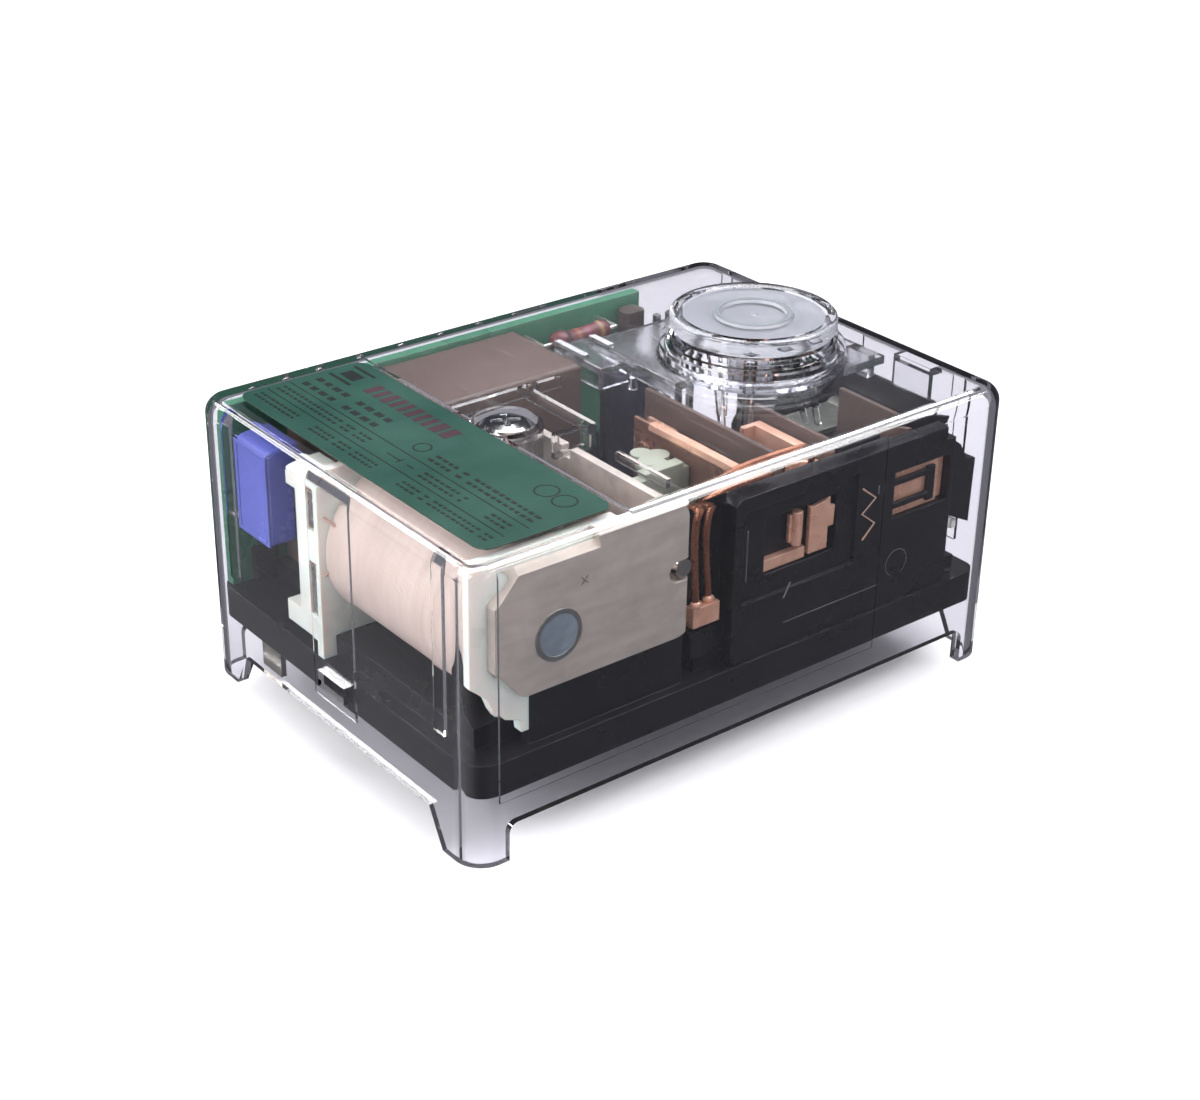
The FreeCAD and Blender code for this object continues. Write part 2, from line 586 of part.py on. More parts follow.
def make_capacitor():
    body = box(-42.8, -38.6, 16.4, 24.4, 24.5, 37.8)
    return body.makeFillet(0.5, body.Edges)


def make_capacitor_leads():
    return [rod_y(x, 25.2, 24.4, BOARD_Y, 0.35) for x in (-41.9, -39.5)]


def make_resistor():
    """Axial resistor with a waisted body and leads bent back to the board."""
    body = rod_x(23.4, 37.6, 9.0, 18.0, 1.3)
    caps = [rod_x(23.4, 37.6, 8.4, 10.8, 1.6), rod_x(23.4, 37.6, 16.2, 18.6, 1.6)]
    return join([body] + caps)


def make_resistor_leads():
    left = tube_path([(8.4, 23.4, 37.6), (6.8, 23.4, 37.6), (6.8, BOARD_Y, 37.6)], 0.3)
    right = tube_path([(18.6, 23.4, 37.6), (20.2, 23.4, 37.6), (20.2, BOARD_Y, 37.6)], 0.3)
    return [left, right]


def make_transistor():
    """Small flat-faced package at the board's far end."""
    body = rod(25.0, 25.6, 34.0, 38.4, 1.9)
    body = body.cut(box(22, 28, 22, 24.4, 30, 40))
    legs = [tube_path([(25.0 + d, 26.0, 34.0), (25.0 + d, 26.0, 31.5), (25.0 + d, BOARD_Y, 31.5)], 0.22)
            for d in (-1.2, 0, 1.2)]
    return join([body] + legs)


def make_board_diodes():
    """Glass diodes in a row behind the timing block."""
    return [rod_x(26.4, z, 9.6, 14.0, 1.1) for z in (22.0, 27.0, 32.0)]


def make_board_pins():
    """Row of short pins beside the board."""
    pins = [box(x, x + 0.9, 25.2, 26.1, BASE_TOP, 36.4) for x in (29.6, 32.0, 34.4, 36.8)]
    return [join(pins + [box(29.2, 38.1, 24.6, 26.7, BASE_TOP, 17.2)])]


def make_electrolytic():
    body = rod(15.6, 14.8, 16.0, 35.2, 4.0)
    body = body.makeFillet(0.6, [e for e in body.Edges if abs(e.BoundBox.ZMin - 35.2) < 1e-6
                                 and abs(e.BoundBox.ZMax - 35.2) < 1e-6])
    return body.cut(rod(15.6, 14.8, 34.9, 36, 2.6))


def make_timing_block():
    """Brown housing between the coil and the board."""
    body = box(-34.0, 4.5, 11.6, BOARD_Y - 0.2, 16.0, 39.4)
    return body.makeFillet(0.7, [e for e in body.Edges if e.BoundBox.ZMin > 39.3])


def make_lamp():
    """Glow lamp under the button's light cone."""
    bulb = turned(BUTTON_X, 0, [(0, 19.0), (2.4, 19.0), (2.4, 28.6), (2.0, 29.8), (1.0, 30.8), (0, 31.2)])
    return bulb


def make_lamp_holder():
    body = rod(BUTTON_X, 0, 16.0, 19.0, 3.2)
    return body


def main():
    os.makedirs("parts", exist_ok=True)
    single = {
        "cover": make_cover, "label": make_label, "button_guide": make_button_guide,
        "reset_button": make_reset_button, "button_disc": make_button_disc, "reset_lever": make_reset_lever,
        "lever_pin": make_lever_pin, "fixing_screw": make_screw, "screw_retainer": make_retainer,
        "base": make_base, "earth_tab": make_earth_tab, "coil_core": make_core, "coil_bobbin": make_bobbin,
        "coil_winding": make_winding, "yoke": make_yoke, "core_stake": make_core_stake, "yoke_pin": make_yoke_pin,
        "armature": make_armature, "pusher_card": make_card, "contact_carrier": make_carrier,
        "carrier_clip": make_clip, "moving_leaf_one": make_moving_leaf_one, "moving_leaf_two": make_moving_leaf_two,
        "end_sheet": make_end_sheet, "contact_bar": make_contact_bar, "circuit_board": make_board,
        "box_capacitor": make_capacitor,
        "resistor": make_resistor, "transistor": make_transistor, "electrolytic": make_electrolytic,
        "timing_block": make_timing_block, "glow_lamp": make_lamp, "lamp_holder": make_lamp_holder,
    }
    groups = {
        "plug_contacts": make_plug_contacts, "coil_terminals": make_coil_terminals,
        "leaf_clamps": make_leaf_clamps, "partition_sheets": make_partition_sheets,
        "fixed_contacts": make_fixed_contacts,
        "window_coppers": make_window_coppers, "flex_leads": make_flex_leads,
        "capacitor_leads": make_capacitor_leads, "resistor_leads": make_resistor_leads,
        "board_diodes": make_board_diodes, "board_pins": make_board_pins,
    }
    for name, make in single.items():
        export(name, [make()])
    for name, make in groups.items():
        export(name, make())


main()
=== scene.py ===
import math
import random

import bmesh
import bpy
from mathutils import Matrix, Quaternion, Vector


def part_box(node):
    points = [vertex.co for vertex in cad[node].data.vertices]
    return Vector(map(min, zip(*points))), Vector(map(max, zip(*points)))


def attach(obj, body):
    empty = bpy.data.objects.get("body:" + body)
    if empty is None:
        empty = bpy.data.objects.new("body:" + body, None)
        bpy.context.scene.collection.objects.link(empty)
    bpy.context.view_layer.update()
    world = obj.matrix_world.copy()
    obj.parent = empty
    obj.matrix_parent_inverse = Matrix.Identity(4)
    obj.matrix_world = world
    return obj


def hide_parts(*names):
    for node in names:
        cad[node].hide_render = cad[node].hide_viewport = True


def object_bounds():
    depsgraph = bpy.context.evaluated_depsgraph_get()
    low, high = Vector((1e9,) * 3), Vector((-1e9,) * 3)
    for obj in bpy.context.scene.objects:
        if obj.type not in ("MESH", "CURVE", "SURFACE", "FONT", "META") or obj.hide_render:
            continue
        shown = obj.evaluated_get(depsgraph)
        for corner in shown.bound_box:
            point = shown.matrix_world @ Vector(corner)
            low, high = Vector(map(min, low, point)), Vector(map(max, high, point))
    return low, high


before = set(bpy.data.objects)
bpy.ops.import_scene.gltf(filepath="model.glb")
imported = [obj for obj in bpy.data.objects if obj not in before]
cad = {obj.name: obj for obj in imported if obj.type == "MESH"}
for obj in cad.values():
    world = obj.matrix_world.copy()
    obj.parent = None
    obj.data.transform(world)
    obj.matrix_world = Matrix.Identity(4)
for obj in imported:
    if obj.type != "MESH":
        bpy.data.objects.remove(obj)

mm = 0.001
scene = bpy.context.scene
cad_low, cad_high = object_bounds()

# ------------------------------------------------------------------ table, light and camera
# The relay stands on a plain pale table. A soft light stands at its label end, a weaker one over
# the contact side, a large one hangs overhead and two narrow ones draw the edges of the cover.


def add(tree, kind, inputs=None, **settings):
    """Adds a node. Each input takes a plain value, or is linked from another node's output."""
    made = tree.nodes.new(kind)
    for name, value in settings.items():
        setattr(made, name, value)
    for name, value in (inputs or {}).items():
        if isinstance(value, bpy.types.NodeSocket):
            tree.links.new(value, made.inputs[name])
        else:
            made.inputs[name].default_value = value
    return made


def blank_finish(name):
    """A new material with an empty node tree."""
    finish = bpy.data.materials.new(name)
    finish.use_nodes = True
    finish.node_tree.nodes.clear()
    return finish, finish.node_tree


def linked_object(name, data):
    made = bpy.data.objects.new(name, data)
    scene.collection.objects.link(made)
    return made


def flat_mesh(name, corners):
    mesh = bpy.data.meshes.new(name)
    mesh.from_pydata(corners, [], [tuple(range(len(corners)))])
    return mesh


def mirrored_rays(tree, room_painted_reflection=False):
    """One for rays that a surface mirrored, which the table and the room paint near black as a painted
    reflection. For the room, rays caught in one clear sheet don't count.
    """
    rays = add(tree, "ShaderNodeLightPath")
    mirrored = add(tree, "ShaderNodeMath", {0: rays.outputs["Glossy Depth"], 1: 0.5},
                   operation="GREATER_THAN")
    if not room_painted_reflection:
        return mirrored.outputs[0]
    trapped = add(tree, "ShaderNodeMath", {0: rays.outputs["Transmission Depth"], 1: 1.5, 2: 1.0},
                  operation="COMPARE")
    return add(tree, "ShaderNodeMath", {0: mirrored.outputs[0], 1: trapped.outputs[0]}, use_clamp=True,
               operation="SUBTRACT").outputs[0]


table_finish, tree = blank_finish("table_laminate")
spots = add(tree, "ShaderNodeTexNoise", {"Scale": 9.0, "Detail": 3.0,
            "Vector": add(tree, "ShaderNodeTexCoord").outputs["Object"]})
shade = add(tree, "ShaderNodeMapRange", {"Value": spots.outputs["Fac"], "To Min": 0.36, "To Max": 0.5})
tint = add(tree, "ShaderNodeMixRGB", {"Fac": spots.outputs["Fac"], "Color1": (0.90, 0.90, 0.915, 1),
           "Color2": (0.93, 0.93, 0.935, 1)})
# Only the camera sees the table pale. Through clear plastic it shows light grey, in the light it bounces it is
# mid grey, and in reflections it is near black: painted light and a painted reflection, not the table's own
# colour.
rays = add(tree, "ShaderNodeLightPath")
seen = (0.40, 0.395, 0.43, 1)
for ray, color in ((rays.outputs["Is Transmission Ray"], (0.66, 0.65, 0.69, 1)),
                   (mirrored_rays(tree), (0.05, 0.05, 0.06, 1)),
                   (rays.outputs["Is Camera Ray"], tint.outputs["Color"])):
    seen = add(tree, "ShaderNodeMixRGB", {"Fac": ray, "Color1": seen, "Color2": color}).outputs["Color"]
skin = add(tree, "ShaderNodeBsdfPrincipled", {"Base Color": seen,
           "Roughness": shade.outputs["Result"]})
add(tree, "ShaderNodeOutputMaterial", {"Surface": skin.outputs["BSDF"]})
reach = 2.0
table = linked_object("table", flat_mesh("table", [(-reach, -reach, 0), (reach, -reach, 0),
                                                   (reach, reach, 0), (-reach, reach, 0)]))
table.data.materials.append(table_finish)

room = bpy.data.worlds.new("studio_room")
scene.world = room
room.use_nodes = True
tree = room.node_tree
# The room lights the relay lilac grey, but rays that a surface mirrored find it near black, except rays caught
# in one clear sheet: a painted reflection.
room_painted_reflection = add(tree, "ShaderNodeMixRGB", {"Fac": mirrored_rays(tree, room_painted_reflection=True),
            "Color1": (0.62, 0.61, 0.68, 1), "Color2": (0.07, 0.07, 0.085, 1)})
tree.links.new(room_painted_reflection.outputs["Color"], tree.nodes["Background"].inputs["Color"])
tree.nodes["Background"].inputs["Strength"].default_value = 0.5
scene.view_settings.view_transform = "Standard"

middle = (cad_low + cad_high) / 2
for name, way, distance, width, height, power in (
        ("end_window", (-1.0, 0.05, 0.55), 0.75, 0.45, 0.45, 4.2),
        ("side_fill", (0.1, -1.0, 0.5), 0.95, 0.5, 0.35, 1.0),
        ("overhead", (0.28, 0.1, 0.96), 0.85, 0.8, 0.8, 10.0),
        ("front_rim", (0.56, -0.3, 0.75), 0.8, 0.4, 0.15, 1.6),
        ("back_rim", (-0.47, 0.69, 0.56), 0.8, 0.4, 0.15, 1.6)):
    lamp = bpy.data.lights.new(name, "AREA")
    lamp.shape = "RECTANGLE"
    lamp.size = width
    lamp.size_y = height
    lamp.energy = power
    stand = linked_object(name, lamp)
    towards = Vector(way).normalized()
    stand.location = middle + towards * distance
    stand.rotation_euler = (-towards).to_track_quat("-Z", "Y").to_euler()

azimuth, elevation, roll = math.radians(-39.03), math.radians(27.73), math.radians(1.07)
back = Vector((math.sin(azimuth) * math.cos(elevation), -math.cos(azimuth) * math.cos(elevation),
               math.sin(elevation)))
aim = Vector((-0.0005, -0.0016, 0.0182))
camera = linked_object("camera", bpy.data.cameras.new("camera"))
camera.data.lens = 65.15
camera.data.shift_x = -0.0078
camera.location = aim + back * 0.3036
camera.rotation_euler = ((-back).to_track_quat("-Z", "Y") @ Quaternion((0, 0, 1), roll)).to_euler()
scene.camera = camera

# ------------------------------------------------------------------ base
# One black moulding: a shallow tray turned over, with pads that the coil, contact block and board stand on.
# Satin moulded polyamide, a little paler at its edges: partly rubbed by handling, partly a painted highlight
# along the rounded edges.


def shader_group(name, inputs, outputs):
    """A shader group with named inputs and outputs. Returns it with the sockets to link inside."""
    group = bpy.data.node_groups.new(name, "ShaderNodeTree")
    for label, value in inputs.items():
        kind = "NodeSocketFloat" if isinstance(value, float) else "NodeSocketColor"
        kind = "NodeSocketVector" if not isinstance(value, float) and len(value) == 3 else kind
        group.interface.new_socket(label, in_out="INPUT", socket_type=kind).default_value = value
    for label, kind in outputs.items():
        group.interface.new_socket(label, in_out="OUTPUT", socket_type="NodeSocket" + kind)
    given = add(group, "NodeGroupInput").outputs
    wanted = add(group, "NodeGroupOutput").inputs
    return group, given, wanted


def multiply(tree, a, b):
    return add(tree, "ShaderNodeMath", {0: a, 1: b}, operation="MULTIPLY").outputs[0]


# How far each point lies on a rounded edge, found by comparing the true face with a softened one.
edge_group, given, wanted = shader_group("softened_edge", {"Width": 0.0002},
                                         {"Edge": "Float", "Normal": "Vector"})
soft = add(edge_group, "ShaderNodeBevel", {"Radius": given["Width"]}, samples=4)
face = add(edge_group, "ShaderNodeNewGeometry")
same = add(edge_group, "ShaderNodeVectorMath", {0: soft.outputs["Normal"], 1: face.outputs["True Normal"]},
           operation="DOT_PRODUCT")
edge = add(edge_group, "ShaderNodeMapRange", {"Value": same.outputs["Value"], "From Min": 0.995,
           "From Max": 0.8})
edge_group.links.new(edge.outputs["Result"], wanted["Edge"])
edge_group.links.new(soft.outputs["Normal"], wanted["Normal"])

# Moulded plastic: faint flow clouds in its colour, fine grain and paler edges, partly rubbed wear and partly a
# painted highlight along the rounded edges.
moulded_group, given, wanted = shader_group(
    "moulded_skin",
    {"Color": (0.5, 0.5, 0.5, 1), "Worn And Highlit Color": (0.6, 0.6, 0.6, 1), "Roughness": 0.4, "Grain": 2500.0,
     "Depth": 0.00002, "Edge Width": 0.00025, "Wear And Highlight": 0.5},
    {"Color": "Color", "Roughness": "Float", "Normal": "Vector"})
where = add(moulded_group, "ShaderNodeTexCoord").outputs["Object"]
cloud = add(moulded_group, "ShaderNodeTexNoise", {"Vector": where, "Scale": 90.0, "Detail": 4.0})
grain = add(moulded_group, "ShaderNodeTexNoise", {"Vector": where, "Scale": given["Grain"], "Detail": 2.0})
rim = add(moulded_group, "ShaderNodeGroup", node_tree=edge_group)
moulded_group.links.new(given["Edge Width"], rim.inputs["Width"])
value = add(moulded_group, "ShaderNodeMapRange", {"Value": cloud.outputs["Fac"], "From Min": 0.3,
            "From Max": 0.7, "To Min": 0.86, "To Max": 1.12})
clouded = add(moulded_group, "ShaderNodeHueSaturation", {"Color": given["Color"],
              "Value": value.outputs["Result"]})
# Paler colour on the rounded edges: partly rubbed wear, partly a painted edge highlight.
worn_and_highlit = multiply(moulded_group, rim.outputs["Edge"], multiply(moulded_group, cloud.outputs["Fac"],
                                                            given["Wear And Highlight"]))
mixed = add(moulded_group, "ShaderNodeMixRGB", {"Fac": worn_and_highlit, "Color1": clouded.outputs["Color"],
            "Color2": given["Worn And Highlit Color"]})
rough = add(moulded_group, "ShaderNodeMapRange", {"Value": cloud.outputs["Fac"], "From Min": 0.3,
            "From Max": 0.7, "To Min": 0.85, "To Max": 1.2})
bump = add(moulded_group, "ShaderNodeBump", {"Height": grain.outputs["Fac"], "Distance": given["Depth"],
           "Normal": rim.outputs["Normal"]})
moulded_group.links.new(mixed.outputs["Color"], wanted["Color"])
moulded_group.links.new(multiply(moulded_group, rough.outputs["Result"], given["Roughness"]),
                        wanted["Roughness"])
moulded_group.links.new(bump.outputs["Normal"], wanted["Normal"])


def moulded(name, color, worn_and_highlit_color, roughness, **own):
    """A moulded plastic finish. Own values go to the shader's sockets, such as Coat_Weight."""
    finish, tree = blank_finish(name)
    skin = add(tree, "ShaderNodeGroup", node_tree=moulded_group)
    skin.inputs["Color"].default_value = (*color, 1)
    skin.inputs["Worn And Highlit Color"].default_value = (*worn_and_highlit_color, 1)
    skin.inputs["Roughness"].default_value = roughness
    shader = add(tree, "ShaderNodeBsdfPrincipled", {"Base Color": skin.outputs["Color"],
                 "Roughness": skin.outputs["Roughness"], "Normal": skin.outputs["Normal"]})
    for label, value in own.items():
        shader.inputs[label.replace("_", " ")].default_value = value
    add(tree, "ShaderNodeOutputMaterial", {"Surface": shader.outputs["BSDF"]})
    return finish


def dress(finish, *names):
    """Gives CAD nodes their finish."""
    for name in names:
        for slot in cad[name].material_slots:
            slot.material = finish


def blocks(name, boxes):
    """A mesh of closed boxes, each given as two X, two Y and two Z values in millimetres."""
    work = bmesh.new()
    for x0, x1, y0, y1, z0, z1 in boxes:
        size = Vector((x1 - x0, y1 - y0, z1 - z0)) * mm
        centre = Vector((x0 + x1, y0 + y1, z0 + z1)) * mm / 2
        bmesh.ops.create_cube(work, size=1, matrix=Matrix.Translation(centre) @ Matrix.Diagonal((*size, 1)))
    mesh = bpy.data.meshes.new(name)
    work.to_mesh(mesh)
    work.free()
    return mesh


def rods(name, routes, radius):
    """A mesh of round wires along routes, in millimetres."""
    curve = bpy.data.curves.new(name, "CURVE")
    curve.dimensions = "3D"
    curve.bevel_depth = radius * mm
    curve.bevel_resolution = 2
    curve.use_fill_caps = True
    for points in routes:
        spline = curve.splines.new("POLY")
        spline.points.add(len(points) - 1)
        for knot, point in zip(spline.points, points):
            knot.co = (*(c * mm for c in point), 1)
    holder = linked_object(name, curve)
    mesh = bpy.data.meshes.new_from_object(holder)
    bpy.data.objects.remove(holder)
    return mesh


def drops(name, places):
    """A mesh of rounded drops, each given as a centre and three half sizes, in millimetres."""
    work = bmesh.new()
    for centre, half in places:
        place = Matrix.Translation(Vector(centre) * mm) @ Matrix.Diagonal((*half, 1))
        bmesh.ops.create_uvsphere(work, u_segments=14, v_segments=9, radius=mm, matrix=place)
    mesh = bpy.data.meshes.new(name)
    work.to_mesh(mesh)
    work.free()
    for face in mesh.polygons:
        face.use_smooth = True
    return mesh


def piece(mesh, body, finish, replaces=None):
    """Makes a new piece of a mesh, with its finish, body and slot."""
    mesh.materials.clear()
    mesh.materials.append(finish)
    made = linked_object(mesh.name, mesh)
    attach(made, body)
    if replaces:
        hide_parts(replaces)
    return made


base_black = moulded("base_polyamide", (0.008, 0.008, 0.010), (0.05, 0.05, 0.06), 0.3, IOR=1.5)
dress(base_black, "base")

# Six small raised bars under the tray's floor, in two rows between the blades.
bars = [(x - 1.6, x + 1.6, y - 0.5, y + 0.5, 11.5, 12.2)
        for x in (-20.5, 10.0, 21.0) for y in (-15.5, 15.5)]
piece(blocks("base_bosses", bars), "housing", base_black)

# ------------------------------------------------------------------ plug blades and earth tab
# Twelve flat blades in two rows and one earth tab, pushed into the moulding from below. Brass strip with a dull
# tin coat, its edges a little brighter: partly bare sheared metal, partly a painted highlight.

# Sheet metal: streaks along its rolling direction, faint tarnish and brighter edges, partly bare sheared metal
# and partly a painted highlight.
metal_group, given, wanted = shader_group(
    "rolled_sheet",
    {"Color": (0.6, 0.6, 0.6, 1), "Tarnish": (0.4, 0.35, 0.3, 1), "Edge And Highlight Color": (0.8, 0.8, 0.8, 1),
     "Roughness": 0.35, "Stretch": (1.0, 1.0, 1.0), "Streaks": 600.0, "Depth": 0.00001},
    {"Color": "Color", "Roughness": "Float", "Normal": "Vector"})
where = add(metal_group, "ShaderNodeTexCoord").outputs["Object"]
turned = add(metal_group, "ShaderNodeMapping", {"Vector": where, "Scale": given["Stretch"]})
streak = add(metal_group, "ShaderNodeTexNoise", {"Vector": turned.outputs["Vector"],
             "Scale": given["Streaks"], "Detail": 3.0})
stain = add(metal_group, "ShaderNodeTexNoise", {"Vector": where, "Scale": 140.0, "Detail": 5.0,
            "Roughness": 0.65})
stained = add(metal_group, "ShaderNodeMapRange", {"Value": stain.outputs["Fac"], "From Min": 0.42,
              "From Max": 0.72})
rim = add(metal_group, "ShaderNodeGroup", node_tree=edge_group)
rim.inputs["Width"].default_value = 0.00012
dull = add(metal_group, "ShaderNodeMixRGB", {"Fac": stained.outputs["Result"], "Color1": given["Color"],
           "Color2": given["Tarnish"]})
value = add(metal_group, "ShaderNodeMapRange", {"Value": streak.outputs["Fac"], "From Min": 0.3,
            "From Max": 0.7, "To Min": 0.88, "To Max": 1.1})
streaked = add(metal_group, "ShaderNodeHueSaturation", {"Color": dull.outputs["Color"],
               "Value": value.outputs["Result"]})
# Brighter colour on the edges: partly bare sheared metal, partly a painted edge highlight.
edged_and_highlit = add(metal_group, "ShaderNodeMixRGB", {"Fac": rim.outputs["Edge"],
            "Color1": streaked.outputs["Color"], "Color2": given["Edge And Highlight Color"]})
rough = add(metal_group, "ShaderNodeMapRange", {"Value": stain.outputs["Fac"], "From Min": 0.3,
            "From Max": 0.7, "To Min": 0.8, "To Max": 1.35})
bump = add(metal_group, "ShaderNodeBump", {"Height": streak.outputs["Fac"], "Distance": given["Depth"],
           "Normal": rim.outputs["Normal"]})
metal_group.links.new(edged_and_highlit.outputs["Color"], wanted["Color"])
metal_group.links.new(multiply(metal_group, rough.outputs["Result"], given["Roughness"]),
                      wanted["Roughness"])
metal_group.links.new(bump.outputs["Normal"], wanted["Normal"])


def rolled(name, color, tarnish, edge_and_highlight_color, roughness, stretch, metallic=1.0):
    """A sheet metal finish. A small number in stretch makes the streaks long that way."""
    finish, tree = blank_finish(name)
    skin = add(tree, "ShaderNodeGroup", node_tree=metal_group)
    skin.inputs["Color"].default_value = (*color, 1)
    skin.inputs["Tarnish"].default_value = (*tarnish, 1)
    skin.inputs["Edge And Highlight Color"].default_value = (*edge_and_highlight_color, 1)
    skin.inputs["Roughness"].default_value = roughness
    skin.inputs["Stretch"].default_value = stretch
    shader = add(tree, "ShaderNodeBsdfPrincipled", {"Base Color": skin.outputs["Color"],
                 "Roughness": skin.outputs["Roughness"], "Normal": skin.outputs["Normal"],
                 "Metallic": metallic})
    add(tree, "ShaderNodeOutputMaterial", {"Surface": shader.outputs["BSDF"]})
    return finish


blade_tin = rolled("blade_tin", (0.62, 0.60, 0.56), (0.42, 0.37, 0.30), (0.75, 0.62, 0.42), 0.33,
                   (1.0, 1.0, 0.08))
dress(blade_tin, "plug_contacts", "earth_tab")

# ------------------------------------------------------------------ coil bobbin and core
# The bobbin is one natural nylon moulding with two flanges and a block for the coil's tags. The iron
# core goes through it and is riveted into the yoke.

bobbin_natural = moulded("bobbin_nylon", (0.70, 0.72, 0.66), (0.82, 0.83, 0.78), 0.3,
                         Subsurface_Weight=0.35, Subsurface_Scale=0.003)
dress(bobbin_natural, "coil_bobbin")

core_iron = rolled("core_zinc", (0.33, 0.40, 0.46), (0.22, 0.27, 0.32), (0.62, 0.66, 0.70), 0.34,
                   (1.0, 1.0, 1.0), metallic=0.5)
dress(core_iron, "coil_core")

# ------------------------------------------------------------------ coil winding
# Some 120 turns lie side by side as the last layer of fine lacquered wire, with a pale tape under
# them. The helix fills the bobbin between its flanges.


def geometry_tree(name, inputs):
    """A geometry node tree with named inputs. Returns it with its input and output sockets."""
    tree = bpy.data.node_groups.new(name, "GeometryNodeTree")
    tree.interface.new_socket("Geometry", in_out="INPUT", socket_type="NodeSocketGeometry")
    tree.interface.new_socket("Geometry", in_out="OUTPUT", socket_type="NodeSocketGeometry")
    for label, kind in inputs.items():
        tree.interface.new_socket(label, in_out="INPUT", socket_type="NodeSocket" + kind)
    given = add(tree, "NodeGroupInput").outputs
    wanted = add(tree, "NodeGroupOutput").inputs
    return tree, given, wanted


def grown_mesh(name, start, tree, values):
    """Runs a geometry tree on a start mesh and returns the plain mesh that it gives."""
    carrier = linked_object(name + "_start", start)
    modifier = carrier.modifiers.new(name, "NODES")
    modifier.node_group = tree
    for item in tree.interface.items_tree:
        if item.in_out == "INPUT" and item.name in values:
            modifier[item.identifier] = values[item.name]
    depsgraph = bpy.context.evaluated_depsgraph_get()
    mesh = bpy.data.meshes.new_from_object(carrier.evaluated_get(depsgraph), depsgraph=depsgraph)
    mesh.name = name
    carrier.modifiers.clear()
    bpy.data.objects.remove(carrier)
    return mesh


def end_tree(tree, geometry, finish, wanted):
    """Ends a geometry tree: copies become real and take their finish."""
    real = add(tree, "GeometryNodeRealizeInstances", {"Geometry": geometry})
    coated = add(tree, "GeometryNodeSetMaterial", {"Geometry": real.outputs["Geometry"],
                 "Material": finish})
    tree.links.new(coated.outputs["Geometry"], wanted["Geometry"])


turns_tree, given, wanted = geometry_tree("coil_turns", {"Turns": "Float", "Radius": "Float",
                                                         "Length": "Float", "Wire": "Float",
                                                         "Finish": "Material"})
helix = add(turns_tree, "GeometryNodeCurveSpiral", {"Resolution": 44, "Rotations": given["Turns"],
            "Start Radius": given["Radius"], "End Radius": given["Radius"], "Height": given["Length"]})
lay = add(turns_tree, "ShaderNodeTexNoise", {"Scale": 260.0, "Detail": 1.0})
lift = add(turns_tree, "ShaderNodeMapRange", {"Value": lay.outputs["Fac"], "To Min": -0.00005,
           "To Max": 0.00005})
along = add(turns_tree, "ShaderNodeCombineXYZ", {"Z": lift.outputs["Result"]})
uneven = add(turns_tree, "GeometryNodeSetPosition", {"Geometry": helix.outputs["Curve"],
             "Offset": along.outputs["Vector"]})
section = add(turns_tree, "GeometryNodeCurvePrimitiveCircle", {"Resolution": 5, "Radius": given["Wire"]})
wire = add(turns_tree, "GeometryNodeCurveToMesh", {"Curve": uneven.outputs["Geometry"],
           "Profile Curve": section.outputs["Curve"], "Fill Caps": True})
end_tree(turns_tree, wire.outputs["Mesh"], given["Finish"], wanted)

winding_low, winding_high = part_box("coil_winding")
coil_middle = (winding_low + winding_high) / 2
coil_radius = (winding_high.x - winding_low.x) / 2
coil_length = winding_high.y - winding_low.y
turn_count = 118
wire_radius = coil_length / turn_count / 2 * 1.02

winding_finish, tree = blank_finish("lacquered_wire")
where = add(tree, "ShaderNodeTexCoord").outputs["Object"]
bands = add(tree, "ShaderNodeMapping", {"Vector": where, "Scale": (0.15, 1.0, 0.15)})
band = add(tree, "ShaderNodeTexNoise", {"Vector": bands.outputs["Vector"], "Scale": 900.0, "Detail": 4.0})
drift = add(tree, "ShaderNodeTexNoise", {"Vector": where, "Scale": 60.0, "Detail": 2.0})
pale = add(tree, "ShaderNodeMixRGB", {"Fac": band.outputs["Fac"], "Color1": (0.42, 0.31, 0.25, 1),
           "Color2": (0.80, 0.71, 0.63, 1)})
pinkish = add(tree, "ShaderNodeMixRGB", {"Fac": drift.outputs["Fac"], "Color1": pale.outputs["Color"],
              "Color2": (0.66, 0.53, 0.48, 1)})
gloss = add(tree, "ShaderNodeMapRange", {"Value": band.outputs["Fac"], "To Min": 0.25, "To Max": 0.5})
shader = add(tree, "ShaderNodeBsdfPrincipled", {"Base Color": pinkish.outputs["Color"],
             "Roughness": gloss.outputs["Result"], "Coat Weight": 0.3, "Coat Roughness": 0.2})
add(tree, "ShaderNodeOutputMaterial", {"Surface": shader.outputs["BSDF"]})

turns = linked_object("coil_turns", grown_mesh("coil_turns", bpy.data.meshes.new("coil_start"), turns_tree, {
    "Turns": float(turn_count - 1), "Radius": coil_radius - wire_radius,
    "Length": coil_length - 2.2 * wire_radius, "Wire": wire_radius, "Finish": winding_finish}))
turns.data.transform(Matrix.Translation((coil_middle.x, winding_low.y + 1.1 * wire_radius, coil_middle.z))
                     @ Matrix.Rotation(-math.pi / 2, 4, "X"))


def lathe(name, profile, axis, sides=48):
    """A closed turned shape. The profile is radius and height pairs, the axis a matrix for its Z."""
    work = bmesh.new()
    rings = []
    for radius, height in profile:
        if radius < 1e-7:
            rings.append([work.verts.new((0, 0, height))])
        else:
            rings.append([work.verts.new((radius * math.cos(a), radius * math.sin(a), height))
                          for a in (2 * math.pi * k / sides for k in range(sides))])
    for low, high in zip(rings, rings[1:]):
        for k in range(sides):
            n = (k + 1) % sides
            ring = [low[k % len(low)], low[n % len(low)], high[n % len(high)], high[k % len(high)]]
            work.faces.new(list(dict.fromkeys(ring)))
    bmesh.ops.recalc_face_normals(work, faces=work.faces)
    work.transform(axis)
    mesh = bpy.data.meshes.new(name)
    work.to_mesh(mesh)
    work.free()
    mesh.shade_smooth()
    mesh.set_sharp_from_angle(angle=math.radians(38))
    return mesh


